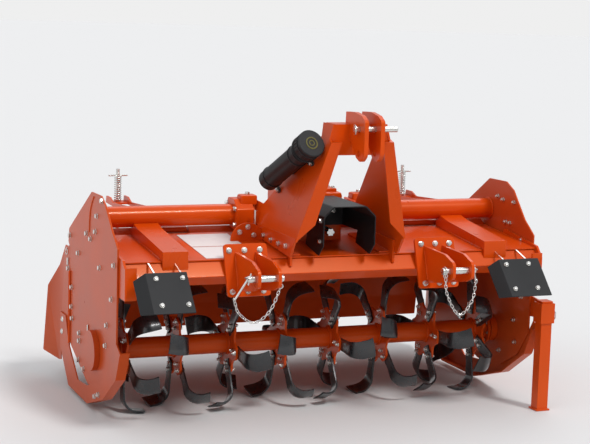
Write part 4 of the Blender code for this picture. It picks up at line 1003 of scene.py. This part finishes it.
cover = slab((box_high.x - box_low.x - 0.040, box_high.y - box_low.y - 0.060, 0.014),
             box_top + Vector((0, 0, 0.006)), 0.004, segments=3)
boss = rod(0.030, 0.016, plug_at + Vector((0, 0, 0.018)), UP, 32, 0.003)
dressed(joined([cover, boss]), "gearbox_cover", ORANGE, "frame")
COVER_ROWS, COVER_INSET = 5, 0.034
seats = []
for row in range(COVER_ROWS):
    row_y = box_low.y + 0.045 + row * (box_high.y - box_low.y - 0.09) / (COVER_ROWS - 1)
    for edge in (-1, 1):
        edge_x = box_top.x + edge * ((box_high.x - box_low.x) / 2 - COVER_INSET)
        seats.append((Vector((edge_x, row_y, box_high.z + 0.013)), UP))
seats.append((plug_at + Vector((0, 0, 0.026)), UP))
bolted("gearbox_bolts", seats, 0.8)

# ---- Weld beads ----------------------------------------------------------------------------------
# The frame is welded by hand. A rippled bead, painted over with the rest, fills each main seam.
def bead(start, end, radius=0.0042):
    """A rippled weld bead along one straight seam."""
    start, end = Vector(start), Vector(end)
    count = max(3, round((end - start).length / 0.0045))
    item = wire([start.lerp(end, i / count) for i in range(count + 1)], radius)
    along = (end - start).normalized()
    for vertex in item.data.vertices:
        reach = (vertex.co - start).dot(along)
        middle = start + along * reach
        swell = 0.86 + 0.16 * abs(math.sin(reach * 380.0))
        vertex.co = middle + (vertex.co - middle) * swell
    return item


LUG_GAP, LUG_HALF, PIN_OUT = 0.044, 0.0075, 0.435
TUBE_SEAM_RADIUS, TUBE_SEAM_STEPS = 0.0475, 48
beads = []
for side_name, side in SIDES:
    strut_low, strut_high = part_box("hood_strut_" + side_name)
    for x in (strut_low.x, strut_high.x):
        beads.append(bead(beside(x, -0.215, 0.7275), beside(x, 0.10, 0.7545)))
    end_low, end_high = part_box("beam_end_" + side_name)
    inner_x = end_high.x - 0.040 if side < 0 else end_low.x + 0.040
    beads.append(bead(beside(inner_x, -0.262, 0.6700), beside(inner_x, -0.230, 0.7140)))
    for offset in (-LUG_GAP, LUG_GAP):
        for edge in (-LUG_HALF, LUG_HALF):
            x = MACHINE_X + side * PIN_OUT + offset + edge
            beads.append(bead(beside(x, -0.306, 0.612), beside(x, -0.261, 0.742), 0.0036))
    tube_low, tube_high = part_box("cross_tube_" + side_name)
    tube_at = (tube_low + tube_high) / 2
    outer = tube_low.x if side < 0 else tube_high.x
    seam = []
    for step in range(TUBE_SEAM_STEPS):
        angle = 2 * math.pi * step / TUBE_SEAM_STEPS
        seam.append(Vector((outer - side * 0.003, tube_at.y + TUBE_SEAM_RADIUS * math.cos(angle),
                            tube_at.z + TUBE_SEAM_RADIUS * math.sin(angle))))
    beads.append(wire(seam, 0.0045, True))
dressed(joined(beads), "weld_beads", ORANGE, "frame", 60)

# ---- Blank plates, stand pin and foot ------------------------------------------------------------
# Two blank plates lie on the hood's left half. The stand has a pressed foot, and a bent locking pin through
# its socket.
PLATE_WHITE = bpy.data.materials.new("blank_plate")
plate_paint = Finish(PLATE_WHITE)
plate_place = plate_paint.node("ShaderNodeTexCoord", {}, [], "Object")
plate_cloud = noise(plate_paint, plate_place, 30.0, 3.0)
plate_tone = blend(plate_paint, plate_cloud, (0.80, 0.78, 0.76), (0.72, 0.68, 0.67))
plate_paint.node("ShaderNodeOutputMaterial", {}, [plate_paint.node("ShaderNodeBsdfPrincipled", {}, {
    "Base Color": plate_tone, "Roughness": plate_cloud * 0.2 + 0.25})])
DECK_PITCH = math.atan(0.085)
DECK_FRONT_Y, DECK_FRONT_Z, LABEL_LIFT = -0.2253, 0.7255, 0.0012
for label_name, across, back, wide, long in (("front", -0.518, -0.122, 0.160, 0.190),
                                             ("rear", -0.480, 0.090, 0.235, 0.215)):
    label_z = DECK_FRONT_Z + (back - DECK_FRONT_Y) * math.tan(DECK_PITCH) + LABEL_LIFT
    label = slab((wide, long, 0.0014), spot(across, back, label_z), 0.0004,
                 Matrix.Rotation(DECK_PITCH, 4, "X"))
    dressed(label, "blank_plate_" + label_name, PLATE_WHITE, "frame")
stand_low, stand_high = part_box("stand_leg")
stand_at = (stand_low + stand_high) / 2
FOOT_MARGIN, FOOT_THICK = 0.014, 0.008
foot = slab((stand_high.x - stand_low.x + FOOT_MARGIN, stand_high.y - stand_low.y + FOOT_MARGIN, FOOT_THICK),
            (stand_at.x, stand_at.y, 0.0045), 0.002)
dressed(foot, "stand_foot", ORANGE, "stand_leg")
socket_low, socket_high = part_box("stand_socket")
pin_z = socket_high.z - 0.068
pin_start = Vector((socket_high.x + 0.002, stand_at.y, pin_z))
PIN_LOOP = ((0.006, 0, 0), (0.010, 0, -0.006), (0.011, -0.004, -0.030), (0.010, -0.014, -0.036),
            (0.009, -0.024, -0.028), (0.008, -0.024, -0.006), (0.004, -0.020, 0.002))
locking = [rod(0.0055, 0.010, pin_start + Vector((0.002, 0, 0)), RIGHT, 16, 0.001),
           wire([pin_start + Vector(step) for step in PIN_LOOP], 0.0030)]
dressed(joined(locking), "stand_locking_pin", CHROME, "frame", 60)
STAND_BOLTS = ((-0.070, 0.485), (-0.062, 0.440))
bolted("stand_bolts", [(beside(socket_low.x + 0.0485, y, z), RIGHT) for y, z in STAND_BOLTS])

for master in (BOLT, NUT, DOME, BLADE, FLANGE, LINK):
    bpy.data.objects.remove(master)
